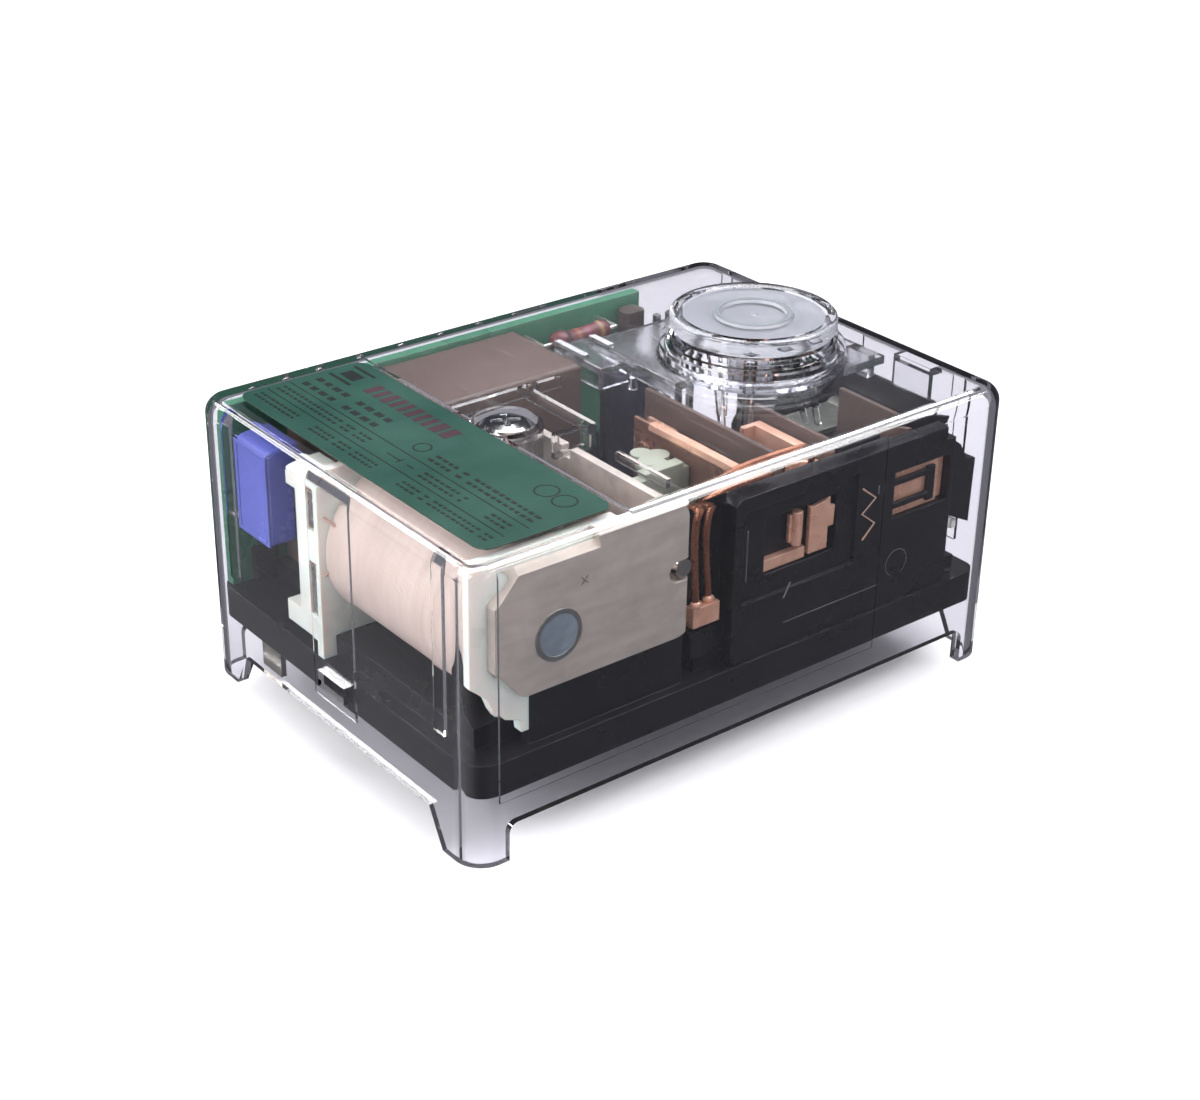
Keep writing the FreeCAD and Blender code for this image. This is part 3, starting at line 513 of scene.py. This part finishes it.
def added(target, extra):
    """Joins an extra mesh into a mesh, keeping its finish numbers."""
    work = bmesh.new()
    work.from_mesh(target)
    work.from_mesh(extra)
    work.to_mesh(target)
    work.free()
    bpy.data.meshes.remove(extra)


along_y = Matrix.Rotation(-math.pi / 2, 4, "X")
drum_radius = coil_radius - wire_radius
hub_radius = 4.25 * mm
drum = lathe("drum", [(hub_radius, 0), (drum_radius, 0), (drum_radius, coil_length),
                      (hub_radius, coil_length), (hub_radius, 0)],
             Matrix.Translation((coil_middle.x, winding_low.y, coil_middle.z)) @ along_y)
added(turns.data, drum)
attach(turns, "housing")
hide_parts("coil_winding")

# ------------------------------------------------------------------ yoke, stake and locating pin
# The yoke is one bent steel plate, zinc plated and dull. The core's end is staked into it, a steel
# pin shows in its small slotted hole, and a plain small cross is stamped in its face.

yoke_steel = rolled("yoke_plate", (0.60, 0.53, 0.47), (0.47, 0.43, 0.39), (0.72, 0.67, 0.61), 0.4,
                    (0.25, 1.0, 1.0), metallic=0.5)
dress(yoke_steel, "yoke")
dress(rolled("stake_ring", (0.60, 0.60, 0.58), (0.42, 0.43, 0.44), (0.75, 0.75, 0.74), 0.36,
             (1.0, 1.0, 1.0)), "core_stake")
dress(rolled("pin_bright", (0.72, 0.70, 0.66), (0.55, 0.50, 0.44), (0.85, 0.84, 0.82), 0.22,
             (1.0, 1.0, 1.0)), "yoke_pin")
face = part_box("yoke")[0].y / mm
stamp = moulded("stamped_line", (0.11, 0.095, 0.085), (0.25, 0.23, 0.2), 0.5)
cross = rods("yoke_stamp", [[(-28.3, face, 34.5), (-27.3, face, 35.5)],
                            [(-28.3, face, 35.5), (-27.3, face, 34.5)]], 0.07)
piece(cross, "housing", stamp)
centre_mark = lathe("core_centre", [(0, 0), (0.55, 0), (0.42, 0.05), (0.2, -0.02), (0, -0.08)],
                    Matrix.Translation((coil_middle.x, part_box("coil_core")[0].y + 0.05 * mm, coil_middle.z))
                    @ Matrix.Rotation(math.pi / 2, 4, "X") @ Matrix.Scale(mm, 4))
piece(centre_mark, "housing", stamp)

# ------------------------------------------------------------------ armature and pusher card
# The armature is a bent steel lever in front of the core's pole. Its tail moves a pale card of
# pressed sheet, which pushes both contact leaves.

dress(rolled("armature_plate", (0.52, 0.51, 0.49), (0.40, 0.38, 0.36), (0.7, 0.69, 0.67), 0.38,
             (1.0, 1.0, 0.2)), "armature")
dress(moulded("card_sheet", (0.30, 0.33, 0.26), (0.45, 0.47, 0.40), 0.5), "pusher_card")

# ------------------------------------------------------------------ contact block
# A black moulding with two windows holds the contact leaves. A pale clip under its end lug fixes it
# to the base.

carrier_black = moulded("block_phenolic", (0.008, 0.008, 0.010), (0.06, 0.06, 0.07), 0.28)
dress(carrier_black, "contact_carrier", "end_sheet")
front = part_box("contact_carrier")[0].y / mm
# Three thin bright wires, a grey arc and a grey rule on the block's face: partly the moulding's own marks and
# wire ends, partly painted highlights along its edges.
wire_and_highlight_steel = rolled("thin_wire_and_highlight", (0.66, 0.64, 0.60), (0.45, 0.42, 0.38), (0.8, 0.8, 0.78), 0.3,
                    (1.0, 1.0, 1.0))
arc = [(26.7 + 2.0 * math.cos(a), front, 19.95 + 2.0 * math.sin(a))
       for a in (math.radians(d) for d in range(-60, 241, 20))]
wire_and_highlight_routes = [[(-1.3, front, 26.0), (-1.3, front, 33.4)], [(5.6, front, 21.4), (6.7, front, 23.4)],
         [(22.1, front, 31.8), (22.1, front, 33.0)]]
piece(rods("panel_wires_and_highlights", wire_and_highlight_routes, 0.1), "housing", wire_and_highlight_steel)
line_and_highlight_routes = [arc, [(5.8, front, 17.6), (23.1, front, 17.6)]]
piece(rods("panel_lines_and_highlights", line_and_highlight_routes, 0.06), "housing",
      moulded("moulding_line_and_highlight", (0.16, 0.16, 0.17), (0.2, 0.2, 0.2), 0.4))
dress(moulded("clip_nylon", (0.78, 0.78, 0.75), (0.85, 0.85, 0.83), 0.4), "carrier_clip")

# ------------------------------------------------------------------ contact leaves and bars
# Stamped copper strip, bright where it was rolled: two moving leaves with riveted tips, their fixed
# partners, a thick bar across the block and the pieces that show in its windows.

copper = rolled("copper_strip", (0.90, 0.53, 0.38), (0.74, 0.38, 0.26), (0.98, 0.72, 0.58), 0.24,
                (1.0, 0.12, 1.0), metallic=0.5)
zigzag = [(19.0, front, 33.4), (21.6, front, 31.4), (19.2, front, 29.6), (21.7, front, 27.6),
          (19.6, front, 25.6)]
piece(rods("copper_spring", [zigzag], 0.16), "housing", copper)
piece(drops("lead_welds", [((-8.6, -28.4, 24.5), (0.9, 0.7, 0.6)), ((-6.2, -28.0, 24.5), (0.9, 0.7, 0.6)),
                           ((5.6, -24.9, 34.9), (0.8, 0.7, 0.5)), ((13.1, -24.9, 34.1), (0.8, 0.7, 0.5))]),
      "housing", copper)
# The moving leaves take a much darker copper than the strip: painted shade, for the shadow they stand in. A box
# of the bright copper lies over the first leaf's bead.
leaf_copper_painted_shade = rolled("leaf_copper_painted_shade", (0.34, 0.17, 0.115), (0.20, 0.10, 0.07), (0.85, 0.55, 0.42), 0.3,
                     (1.0, 0.12, 1.0), metallic=0.7)
dress(leaf_copper_painted_shade, "moving_leaf_one", "moving_leaf_two")
piece(blocks("leaf_bead", [(4.85, 6.25, -20.85, -2.95, 34.6, 35.55)]), "leaf_one", copper)
dress(copper, "leaf_clamps", "fixed_contacts", "contact_bar",
      "window_coppers")

# ------------------------------------------------------------------ plaited leads
# Two flexible leads run up beside the block and along its top to the clamps of the moving leaves.
# Each is a rope of fine bare copper strands, welded at both ends.

lead_tree, given, wanted = geometry_tree("plaited_lead", {"Strands": "Int", "Lay": "Float",
                                                          "Radius": "Float", "Wire": "Float",
                                                          "Finish": "Material"})
path = add(lead_tree, "GeometryNodeMeshToCurve", {"Mesh": given["Geometry"]})
smooth = add(lead_tree, "GeometryNodeCurveSplineType", {"Curve": path.outputs["Curve"]},
             spline_type="CATMULL_ROM")
fine = add(lead_tree, "GeometryNodeResampleCurve", {"Curve": smooth.outputs["Curve"], "Count": 130})
strands = add(lead_tree, "GeometryNodeDuplicateElements", {"Geometry": fine.outputs["Curve"],
              "Amount": given["Strands"]}, domain="SPLINE")
number = add(lead_tree, "GeometryNodeStoreNamedAttribute", {"Geometry": strands.outputs["Geometry"],
             "Name": "strand", "Value": strands.outputs["Duplicate Index"]}, data_type="FLOAT",
             domain="CURVE")
which = add(lead_tree, "GeometryNodeInputNamedAttribute", {"Name": "strand"}, data_type="FLOAT")
step = add(lead_tree, "ShaderNodeMath", {0: 2 * math.pi, 1: given["Strands"]}, operation="DIVIDE")
phase = add(lead_tree, "ShaderNodeMath", {0: which.outputs["Attribute"], 1: step.outputs[0]},
            operation="MULTIPLY")
run = add(lead_tree, "GeometryNodeSplineParameter")
angle = add(lead_tree, "ShaderNodeMath", {0: run.outputs["Length"], 1: given["Lay"],
            2: phase.outputs[0]}, operation="MULTIPLY_ADD")
side = add(lead_tree, "GeometryNodeInputNormal")
ahead = add(lead_tree, "GeometryNodeInputTangent")
other = add(lead_tree, "ShaderNodeVectorMath", {0: ahead.outputs["Tangent"], 1: side.outputs["Normal"]},
            operation="CROSS_PRODUCT")
parts = []
for turn, way in (("COSINE", side.outputs["Normal"]), ("SINE", other.outputs["Vector"])):
    share = add(lead_tree, "ShaderNodeMath", {0: angle.outputs[0]}, operation=turn)
    scaled = add(lead_tree, "ShaderNodeMath", {0: share.outputs[0], 1: given["Radius"]},
                 operation="MULTIPLY")
    parts.append(add(lead_tree, "ShaderNodeVectorMath", {0: way, "Scale": scaled.outputs[0]},
                     operation="SCALE").outputs["Vector"])
offset = add(lead_tree, "ShaderNodeVectorMath", {0: parts[0], 1: parts[1]})
twisted = add(lead_tree, "GeometryNodeSetPosition", {"Geometry": number.outputs["Geometry"],
              "Offset": offset.outputs["Vector"]})
section = add(lead_tree, "GeometryNodeCurvePrimitiveCircle", {"Resolution": 6, "Radius": given["Wire"]})
rope = add(lead_tree, "GeometryNodeCurveToMesh", {"Curve": twisted.outputs["Geometry"],
           "Profile Curve": section.outputs["Curve"], "Fill Caps": True})
end_tree(lead_tree, rope.outputs["Mesh"], given["Finish"], wanted)

# The leads' copper is much darker than the strip: partly the braid's own darker tone, partly painted shade for
# the dim space they run through.
flex_copper = rolled("flex_copper", (0.42, 0.17, 0.10), (0.16, 0.06, 0.035), (0.46, 0.21, 0.13), 0.26,
                     (1.0, 1.0, 1.0), metallic=0.8)


def route(name, points):
    """A mesh of edges through a list of points, in millimetres."""
    mesh = bpy.data.meshes.new(name)
    mesh.from_pydata([Vector(p) * mm for p in points], [(k, k + 1) for k in range(len(points) - 1)], [])
    return mesh


lead_one = [(-8.6, -28.3, 24.3), (-9.2, -28.4, 34.6), (-8.2, -28.5, 38.2), (-4.4, -28.6, 39.3),
            (1.0, -28.4, 39.2), (4.6, -27.0, 38.4), (5.6, -24.9, 36.6), (5.6, -24.8, 34.7)]
lead_two = [(-6.2, -27.95, 24.3), (-6.6, -27.55, 33.6), (-5.4, -27.4, 37.6), (-2.0, -27.2, 39.3),
            (5.4, -26.9, 39.5), (10.6, -27.0, 39.3), (12.8, -26.0, 38.0), (13.1, -24.9, 35.6),
            (13.1, -24.8, 33.9)]
lead_values = {"Strands": 7, "Lay": 2600.0, "Radius": 0.33 * mm, "Wire": 0.17 * mm, "Finish": flex_copper}
leads = linked_object("plaited_leads", grown_mesh("plaited_leads", route("lead_one", lead_one), lead_tree,
                                                  lead_values))
added(leads.data, grown_mesh("lead_two", route("lead_two", lead_two), lead_tree, lead_values))
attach(leads, "housing")
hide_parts("flex_leads")

# ------------------------------------------------------------------ circuit board and its parts
# A single-sided board stands along the back wall. Its parts face the coil.

board_green = moulded("solder_mask", (0.045, 0.17, 0.10), (0.20, 0.30, 0.22), 0.3, Coat_Weight=0.3)
dress(board_green, "circuit_board")
capacitor_blue = moulded("capacitor_case", (0.10, 0.12, 0.44), (0.22, 0.26, 0.62), 0.24)
dress(capacitor_blue, "box_capacitor")
low, high = (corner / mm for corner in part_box("box_capacitor"))
rim = [(low.x - 0.12, low.x + 0.1, *span) for span in
       ((low.y, low.y + 0.6, low.z, high.z), (high.y - 0.6, high.y, low.z, high.z),
        (low.y + 0.6, high.y - 0.6, low.z, low.z + 0.6), (low.y + 0.6, high.y - 0.6, high.z - 0.6, high.z))]
piece(blocks("capacitor_rim", rim), "housing", capacitor_blue)
dress(rolled("tinned_lead", (0.70, 0.70, 0.68), (0.5, 0.48, 0.44), (0.85, 0.85, 0.84), 0.26,
             (1.0, 1.0, 1.0)), "capacitor_leads", "resistor_leads", "board_pins", "coil_terminals")

# Solder joints stand in a plain grid on the board's outer face, with tinned tracks between them.
low, high = (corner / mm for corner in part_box("circuit_board"))
solder = rolled("solder", (0.72, 0.72, 0.70), (0.5, 0.5, 0.48), (0.85, 0.85, 0.84), 0.24, (1.0, 1.0, 1.0))
joint_tree, given, wanted = geometry_tree("solder_joints", {"Size": "Float", "Finish": "Material"})
ball = add(joint_tree, "GeometryNodeMeshUVSphere", {"Segments": 12, "Rings": 8, "Radius": given["Size"]})
spread = add(joint_tree, "GeometryNodeInstanceOnPoints", {"Points": given["Geometry"],
             "Instance": ball.outputs["Mesh"], "Scale": (1.0, 0.55, 1.0)})
end_tree(joint_tree, spread.outputs["Instances"], given["Finish"], wanted)
pad_points = bpy.data.meshes.new("pad_points")
pad_points.from_pydata([(x * mm, high.y * mm, z * mm) for z in (19.0, 23.5, 28.0, 32.5, 36.5)
                        for x in (-33.0, -27.5, -22.0, -15.0, -8.0, -1.0, 6.0, 12.5, 18.0)], [], [])
joints = grown_mesh("solder_joints", pad_points, joint_tree, {"Size": 0.75 * mm, "Finish": solder})
piece(joints, "housing", solder)
tracks = [(-33.4, -15.0, 18.4, 19.6), (-8.4, 12.6, 22.9, 24.1), (-27.9, -27.1, 23.0, 32.8),
          (-22.4, -21.6, 28.0, 36.8), (-15.4, 6.2, 31.9, 33.1), (5.6, 6.4, 23.0, 32.4),
          (12.1, 18.4, 27.4, 28.6), (17.6, 18.4, 19.0, 28.0), (-1.4, -0.6, 19.0, 28.4),
          (-33.4, -21.6, 36.0, 37.0)]
piece(blocks("board_tracks", [(x0, x1, high.y - 0.05, high.y + 0.04, z0, z1) for x0, x1, z0, z1 in tracks]),
      "housing", solder)

# The resistor is a lacquered rod, thicker at its ends, with four painted bands.
low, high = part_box("resistor")
length, radius = high.x - low.x, (high.z - low.z) / 2
banded, tree = blank_finish("resistor_lacquer")
along = add(tree, "ShaderNodeSeparateXYZ", {"Vector": add(tree, "ShaderNodeTexCoord").outputs["Object"]})
ratio = add(tree, "ShaderNodeMapRange", {"Value": along.outputs["X"], "From Min": low.x,
            "From Max": high.x})
ramp = add(tree, "ShaderNodeValToRGB", {"Fac": ratio.outputs["Result"]})
ramp.color_ramp.interpolation = "CONSTANT"
lacquer = (0.10, 0.022, 0.025, 1)
for place, color in ((0.2, (0.02, 0.015, 0.015, 1)), (0.27, lacquer),
                     (0.38, (0.22, 0.07, 0.035, 1)), (0.45, lacquer),
                     (0.56, (0.16, 0.02, 0.05, 1)), (0.63, lacquer),
                     (0.78, (0.20, 0.12, 0.05, 1)), (0.84, lacquer)):
    ramp.color_ramp.elements.new(place).color = color
ramp.color_ramp.elements[0].color = lacquer
ramp.color_ramp.elements[-1].color = lacquer
shader = add(tree, "ShaderNodeBsdfPrincipled", {"Base Color": ramp.outputs["Color"], "Roughness": 0.25})
add(tree, "ShaderNodeOutputMaterial", {"Surface": shader.outputs["BSDF"]})
shape = [(0, 0), (0.55, 0), (0.9, 0.05), (1.0, 0.12), (0.95, 0.22), (0.82, 0.3), (0.82, 0.7), (0.95, 0.78),
         (1.0, 0.88), (0.9, 0.95), (0.55, 1), (0, 1)]
centre = (low + high) / 2
bone = lathe("resistor_body", [(r * radius, t * length) for r, t in shape],
             Matrix.Translation((low.x, centre.y, centre.z)) @ Matrix.Rotation(math.pi / 2, 4, "Y"))
piece(bone, "housing", banded, "resistor")
dress(moulded("package_epoxy", (0.045, 0.03, 0.026), (0.12, 0.09, 0.08), 0.4), "transistor")
dress(moulded("shrunk_sleeve", (0.02, 0.02, 0.035), (0.10, 0.10, 0.14), 0.22), "electrolytic")
dress(moulded("block_brown", (0.085, 0.055, 0.045), (0.20, 0.14, 0.12), 0.4), "timing_block",
      "partition_sheets")

# Enamelled ends of the winding run to the two tags of the bobbin and are soldered there.
tag_low, tag_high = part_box("coil_terminals")
tag_x, tag_y = tag_low.x / mm, (tag_low.y + tag_high.y) / mm / 2
piece(drops("tag_solder", [((tag_x + 0.3, tag_y, z), (0.35, 0.9, 1.3)) for z in (24.6, 35.6)]),
      "housing", solder)
piece(rods("coil_ends", [[(tag_x + 0.3, tag_y - 0.3, 24.6), (tag_x + 0.7, tag_y - 1.6, 26.0),
                          (tag_x + 1.4, tag_y - 2.6, 27.4), (-41.9, tag_y - 3.4, 28.6)],
                         [(tag_x + 0.3, tag_y - 0.3, 35.6), (tag_x + 0.9, tag_y - 1.7, 34.4),
                          (tag_x + 1.7, tag_y - 3.0, 33.4)]], 0.16), "housing", copper)
dress(moulded("diode_bead", (0.34, 0.10, 0.05), (0.5, 0.2, 0.12), 0.15), "board_diodes")

# ------------------------------------------------------------------ glow lamp
dress(moulded("lamp_holder_black", (0.02, 0.02, 0.02), (0.1, 0.1, 0.1), 0.4), "lamp_holder")

# ------------------------------------------------------------------ reset lever and pin
lever_brass = rolled("lever_strip", (0.26, 0.27, 0.23), (0.17, 0.17, 0.15), (0.45, 0.46, 0.40), 0.36,
                     (0.15, 1.0, 1.0))
dress(lever_brass, "reset_lever")
dress(rolled("ground_pin", (0.60, 0.60, 0.60), (0.45, 0.45, 0.45), (0.8, 0.8, 0.8), 0.25,
             (1.0, 0.1, 1.0)), "lever_pin")

# ------------------------------------------------------------------ fixing screw and its collar
screw_zinc = rolled("bright_zinc", (0.74, 0.75, 0.78), (0.56, 0.57, 0.60), (0.9, 0.9, 0.92), 0.16,
                    (1.0, 1.0, 1.0))
dress(screw_zinc, "fixing_screw")
dress(moulded("collar_nylon", (0.72, 0.71, 0.64), (0.8, 0.8, 0.74), 0.4), "screw_retainer")

# ------------------------------------------------------------------ clear cover, guide and button
# The cover, the frame under its top and the reset button are polished clear polycarbonate, moulded
# in one piece each. Faint waves and hairline scratches show in their reflections.

clear_group, given, wanted = shader_group("clear_skin", {"Polish": 0.02, "Scratches": 0.6, "Waves": 0.0001},
                                          {"Roughness": "Float", "Normal": "Vector"})
where = add(clear_group, "ShaderNodeTexCoord").outputs["Object"]
total = None
for turn in (0.4, 1.3, 2.3):
    laid = add(clear_group, "ShaderNodeMapping", {"Vector": where, "Rotation": (0.2, 0.3, turn),
               "Scale": (1.0, 0.02, 1.0)})
    hair = add(clear_group, "ShaderNodeTexNoise", {"Vector": laid.outputs["Vector"], "Scale": 1400.0,
               "Detail": 1.0})
    thin = add(clear_group, "ShaderNodeMapRange", {"Value": hair.outputs["Fac"], "From Min": 0.70,
               "From Max": 0.76})
    total = thin.outputs["Result"] if total is None else add(
        clear_group, "ShaderNodeMath", {0: total, 1: thin.outputs["Result"]}, operation="MAXIMUM").outputs[0]
marks = multiply(clear_group, total, given["Scratches"])
wave = add(clear_group, "ShaderNodeTexNoise", {"Vector": where, "Scale": 45.0, "Detail": 1.0})
rough = add(clear_group, "ShaderNodeMath", {0: marks, 1: 0.25, 2: given["Polish"]},
            operation="MULTIPLY_ADD")
bump = add(clear_group, "ShaderNodeBump", {"Height": wave.outputs["Fac"], "Distance": given["Waves"]})
clear_group.links.new(rough.outputs[0], wanted["Roughness"])
clear_group.links.new(bump.outputs["Normal"], wanted["Normal"])


def clear(name, color, polish, scratches):
    """Clear moulded plastic that lamps shine through."""
    finish, tree = blank_finish(name)
    skin = add(tree, "ShaderNodeGroup", node_tree=clear_group)
    skin.inputs["Polish"].default_value = polish
    skin.inputs["Scratches"].default_value = scratches
    shader = add(tree, "ShaderNodeBsdfPrincipled", {"Base Color": (*color, 1), "IOR": 1.5,
                 "Transmission Weight": 1.0, "Roughness": skin.outputs["Roughness"],
                 "Normal": skin.outputs["Normal"]})
    bare = add(tree, "ShaderNodeBsdfTransparent", {"Color": (*color, 1)})
    rays = add(tree, "ShaderNodeLightPath")
    trapped = add(tree, "ShaderNodeMath", {0: rays.outputs["Glossy Depth"], 1: 2.5},
                  operation="GREATER_THAN")
    deep = add(tree, "ShaderNodeMath", {0: rays.outputs["Ray Depth"], 1: 9.5}, operation="GREATER_THAN")
    freed = add(tree, "ShaderNodeMath", {0: trapped.outputs[0], 1: deep.outputs[0]}, operation="MAXIMUM")
    inner = add(tree, "ShaderNodeMixShader", {0: freed.outputs[0], 1: shader.outputs["BSDF"],
                2: bare.outputs["BSDF"]})
    mixed = add(tree, "ShaderNodeMixShader", {0: rays.outputs["Is Shadow Ray"], 1: inner.outputs["Shader"],
                2: bare.outputs["BSDF"]})
    add(tree, "ShaderNodeOutputMaterial", {"Surface": mixed.outputs["Shader"]})
    return finish


dress(clear("clear_cover", (0.955, 0.955, 0.975), 0.012, 0.5), "cover")
dress(clear("clear_guide", (0.93, 0.935, 0.96), 0.14, 0.3), "button_guide")
clear_button = clear("clear_button", (0.95, 0.95, 0.97), 0.02, 0.6)
dress(clear("lamp_glass", (0.96, 0.90, 0.84), 0.01, 0.0), "glow_lamp")
dress(clear("frosted_disc", (0.76, 0.77, 0.80), 0.4, 0.3), "button_disc")
disc_ring = lathe("disc_ring", [(4.8, 47.05), (5.45, 47.05), (5.45, 47.14), (4.8, 47.14), (4.8, 47.05)],
                  Matrix.Scale(mm, 4) @ Matrix.Translation((26.2, 0, 0)), sides=96)
ring_grey = moulded("ring_grey", (0.26, 0.28, 0.31), (0.34, 0.36, 0.4), 0.35)
piece(disc_ring, "button", ring_grey)

# The button is one round clear moulding with two grip rings, a light cone under it and four
# square legs that taper towards the reset lever.
outside = [(0, 46.1), (10.15, 46.1), (10.15, 46.95), (10.4, 47.2), (11.4, 47.2), (11.7, 47.1), (11.85, 46.9),
           (11.9, 46.7), (11.9, 45.4), (11.5, 45.2), (11.5, 44.8), (12.05, 44.6), (12.05, 43.9), (11.75, 43.7),
           (11.75, 43.3), (12.05, 43.1), (12.05, 40.1), (13.2, 40.1), (13.2, 39.0), (10.7, 39.0),
           (10.7, 44.5), (4.0, 44.5), (3.2, 37.0), (1.0, 34.6), (0, 34.6)]
button_axis = Vector((26.2, 0, 0))
cap = lathe("button_cap", outside, Matrix.Scale(mm, 4) @ Matrix.Translation(button_axis), sides=128)
for top, foot in (((-9.2, -2.4), (-7.4, -2.8)), ((-5.8, -6.2), (-4.9, -4.7)), ((-0.9, -6.6), (4.9, -7.0)),
                  ((3.4, -6.4), (6.0, -8.2))):
    corners = []
    for (x, y), z, half in ((foot, 30.0, 0.36), (top, 44.6, 0.7)):
        corners += [button_axis + Vector((x + a * half, y + b * half, z))
                    for a, b in ((-1, -1), (1, -1), (1, 1), (-1, 1))]
    leg = bpy.data.meshes.new("leg")
    sides = [(k, (k + 1) % 4, (k + 1) % 4 + 4, k + 4) for k in range(4)]
    leg.from_pydata([c * mm for c in corners], [], [(3, 2, 1, 0), (4, 5, 6, 7)] + sides)
    added(cap, leg)
piece(cap, "button", clear_button, "reset_button")

# ------------------------------------------------------------------ label
# A satin green film lies in the low part of the top. Its dark print is plain: blocks, short double
# strokes, rings and two rules stand where printed lines would be.
dress(moulded("label_film", (0.014, 0.062, 0.046), (0.03, 0.09, 0.07), 0.4), "label")
film_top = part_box("label")[1].z / mm
ink_low, ink_high = film_top - 0.01, film_top + 0.012
chance = random.Random(4)


def strokes(x0, x1, y0, y1, solid):
    """A printed row from y0 down to y1: solid blocks, or pairs of short strokes, with word gaps."""
    height = x0 - x1
    made, y, count = [], y0, 0
    while y - 0.55 * height > y1:
        width = height * chance.choice((0.4, 0.5, 0.6))
        if solid:
            made.append((x1, x0, y - width, y, ink_low, ink_high))
        else:
            bar = height * 0.3
            made.append((x0 - bar, x0, y - width, y, ink_low, ink_high))
            made.append((x1, x1 + bar, y - width, y, ink_low, ink_high))
        count += 1
        y -= width + height * (0.75 if count % chance.choice((4, 5, 7)) == 0 else 0.22)
    return made


print_boxes = [(x - 0.09, x + 0.09, -26.6, 27.5, ink_low, ink_high) for x in (-33.1, -36.7)]
print_boxes += [(-27.4, -26.9, 21.9, 27.0, ink_low, ink_high), (-23.4, -22.9, 21.9, 27.0, ink_low, ink_high),
                (-26.2, -24.2, 22.8, 26.1, ink_low, ink_high)]
for row in ((-28.9, -32.1, 26.4, 7.3), (-30.2, -32.0, -3.6, -26.1), (-34.2, -35.7, 26.9, 5.1),
            (-34.2, -35.7, -6.8, -16.8), (-34.2, -35.7, -20.9, -25.4), (-37.8, -39.2, 26.9, 16.9),
            (-37.8, -39.2, 13.2, -1.8),
            (-37.8, -39.2, -7.2, -26.3)):
    print_boxes += strokes(*row, False)
print_boxes += [(-35.05, -34.85, -2.0, 1.0, ink_low, ink_high), (-35.05, -34.85, -4.9, -3.4, ink_low, ink_high),
                (-35.6, -34.3, -2.1, -1.9, ink_low, ink_high)]
ink = moulded("label_ink", (0.006, 0.010, 0.010), (0.02, 0.03, 0.03), 0.45)
plain_print = blocks("label_print", print_boxes)
for x, y, radius in ((-25.3, -19.8, 1.7), (-25.3, -23.4, 1.7), (-30.5, -0.4, 1.3)):
    ring = lathe("ring", [(radius - 0.22, ink_low), (radius, ink_low), (radius, ink_high),
                          (radius - 0.22, ink_high), (radius - 0.22, ink_low)],
                 Matrix.Scale(mm, 4) @ Matrix.Translation((x, y, 0)))
    added(plain_print, ring)
piece(plain_print, "housing", ink)
bold_ink = moulded("bold_ink", (0.045, 0.020, 0.030), (0.08, 0.05, 0.06), 0.4)
piece(blocks("label_heading", strokes(-23.9, -26.8, 19.4, -3.3, True)), "housing", bold_ink)
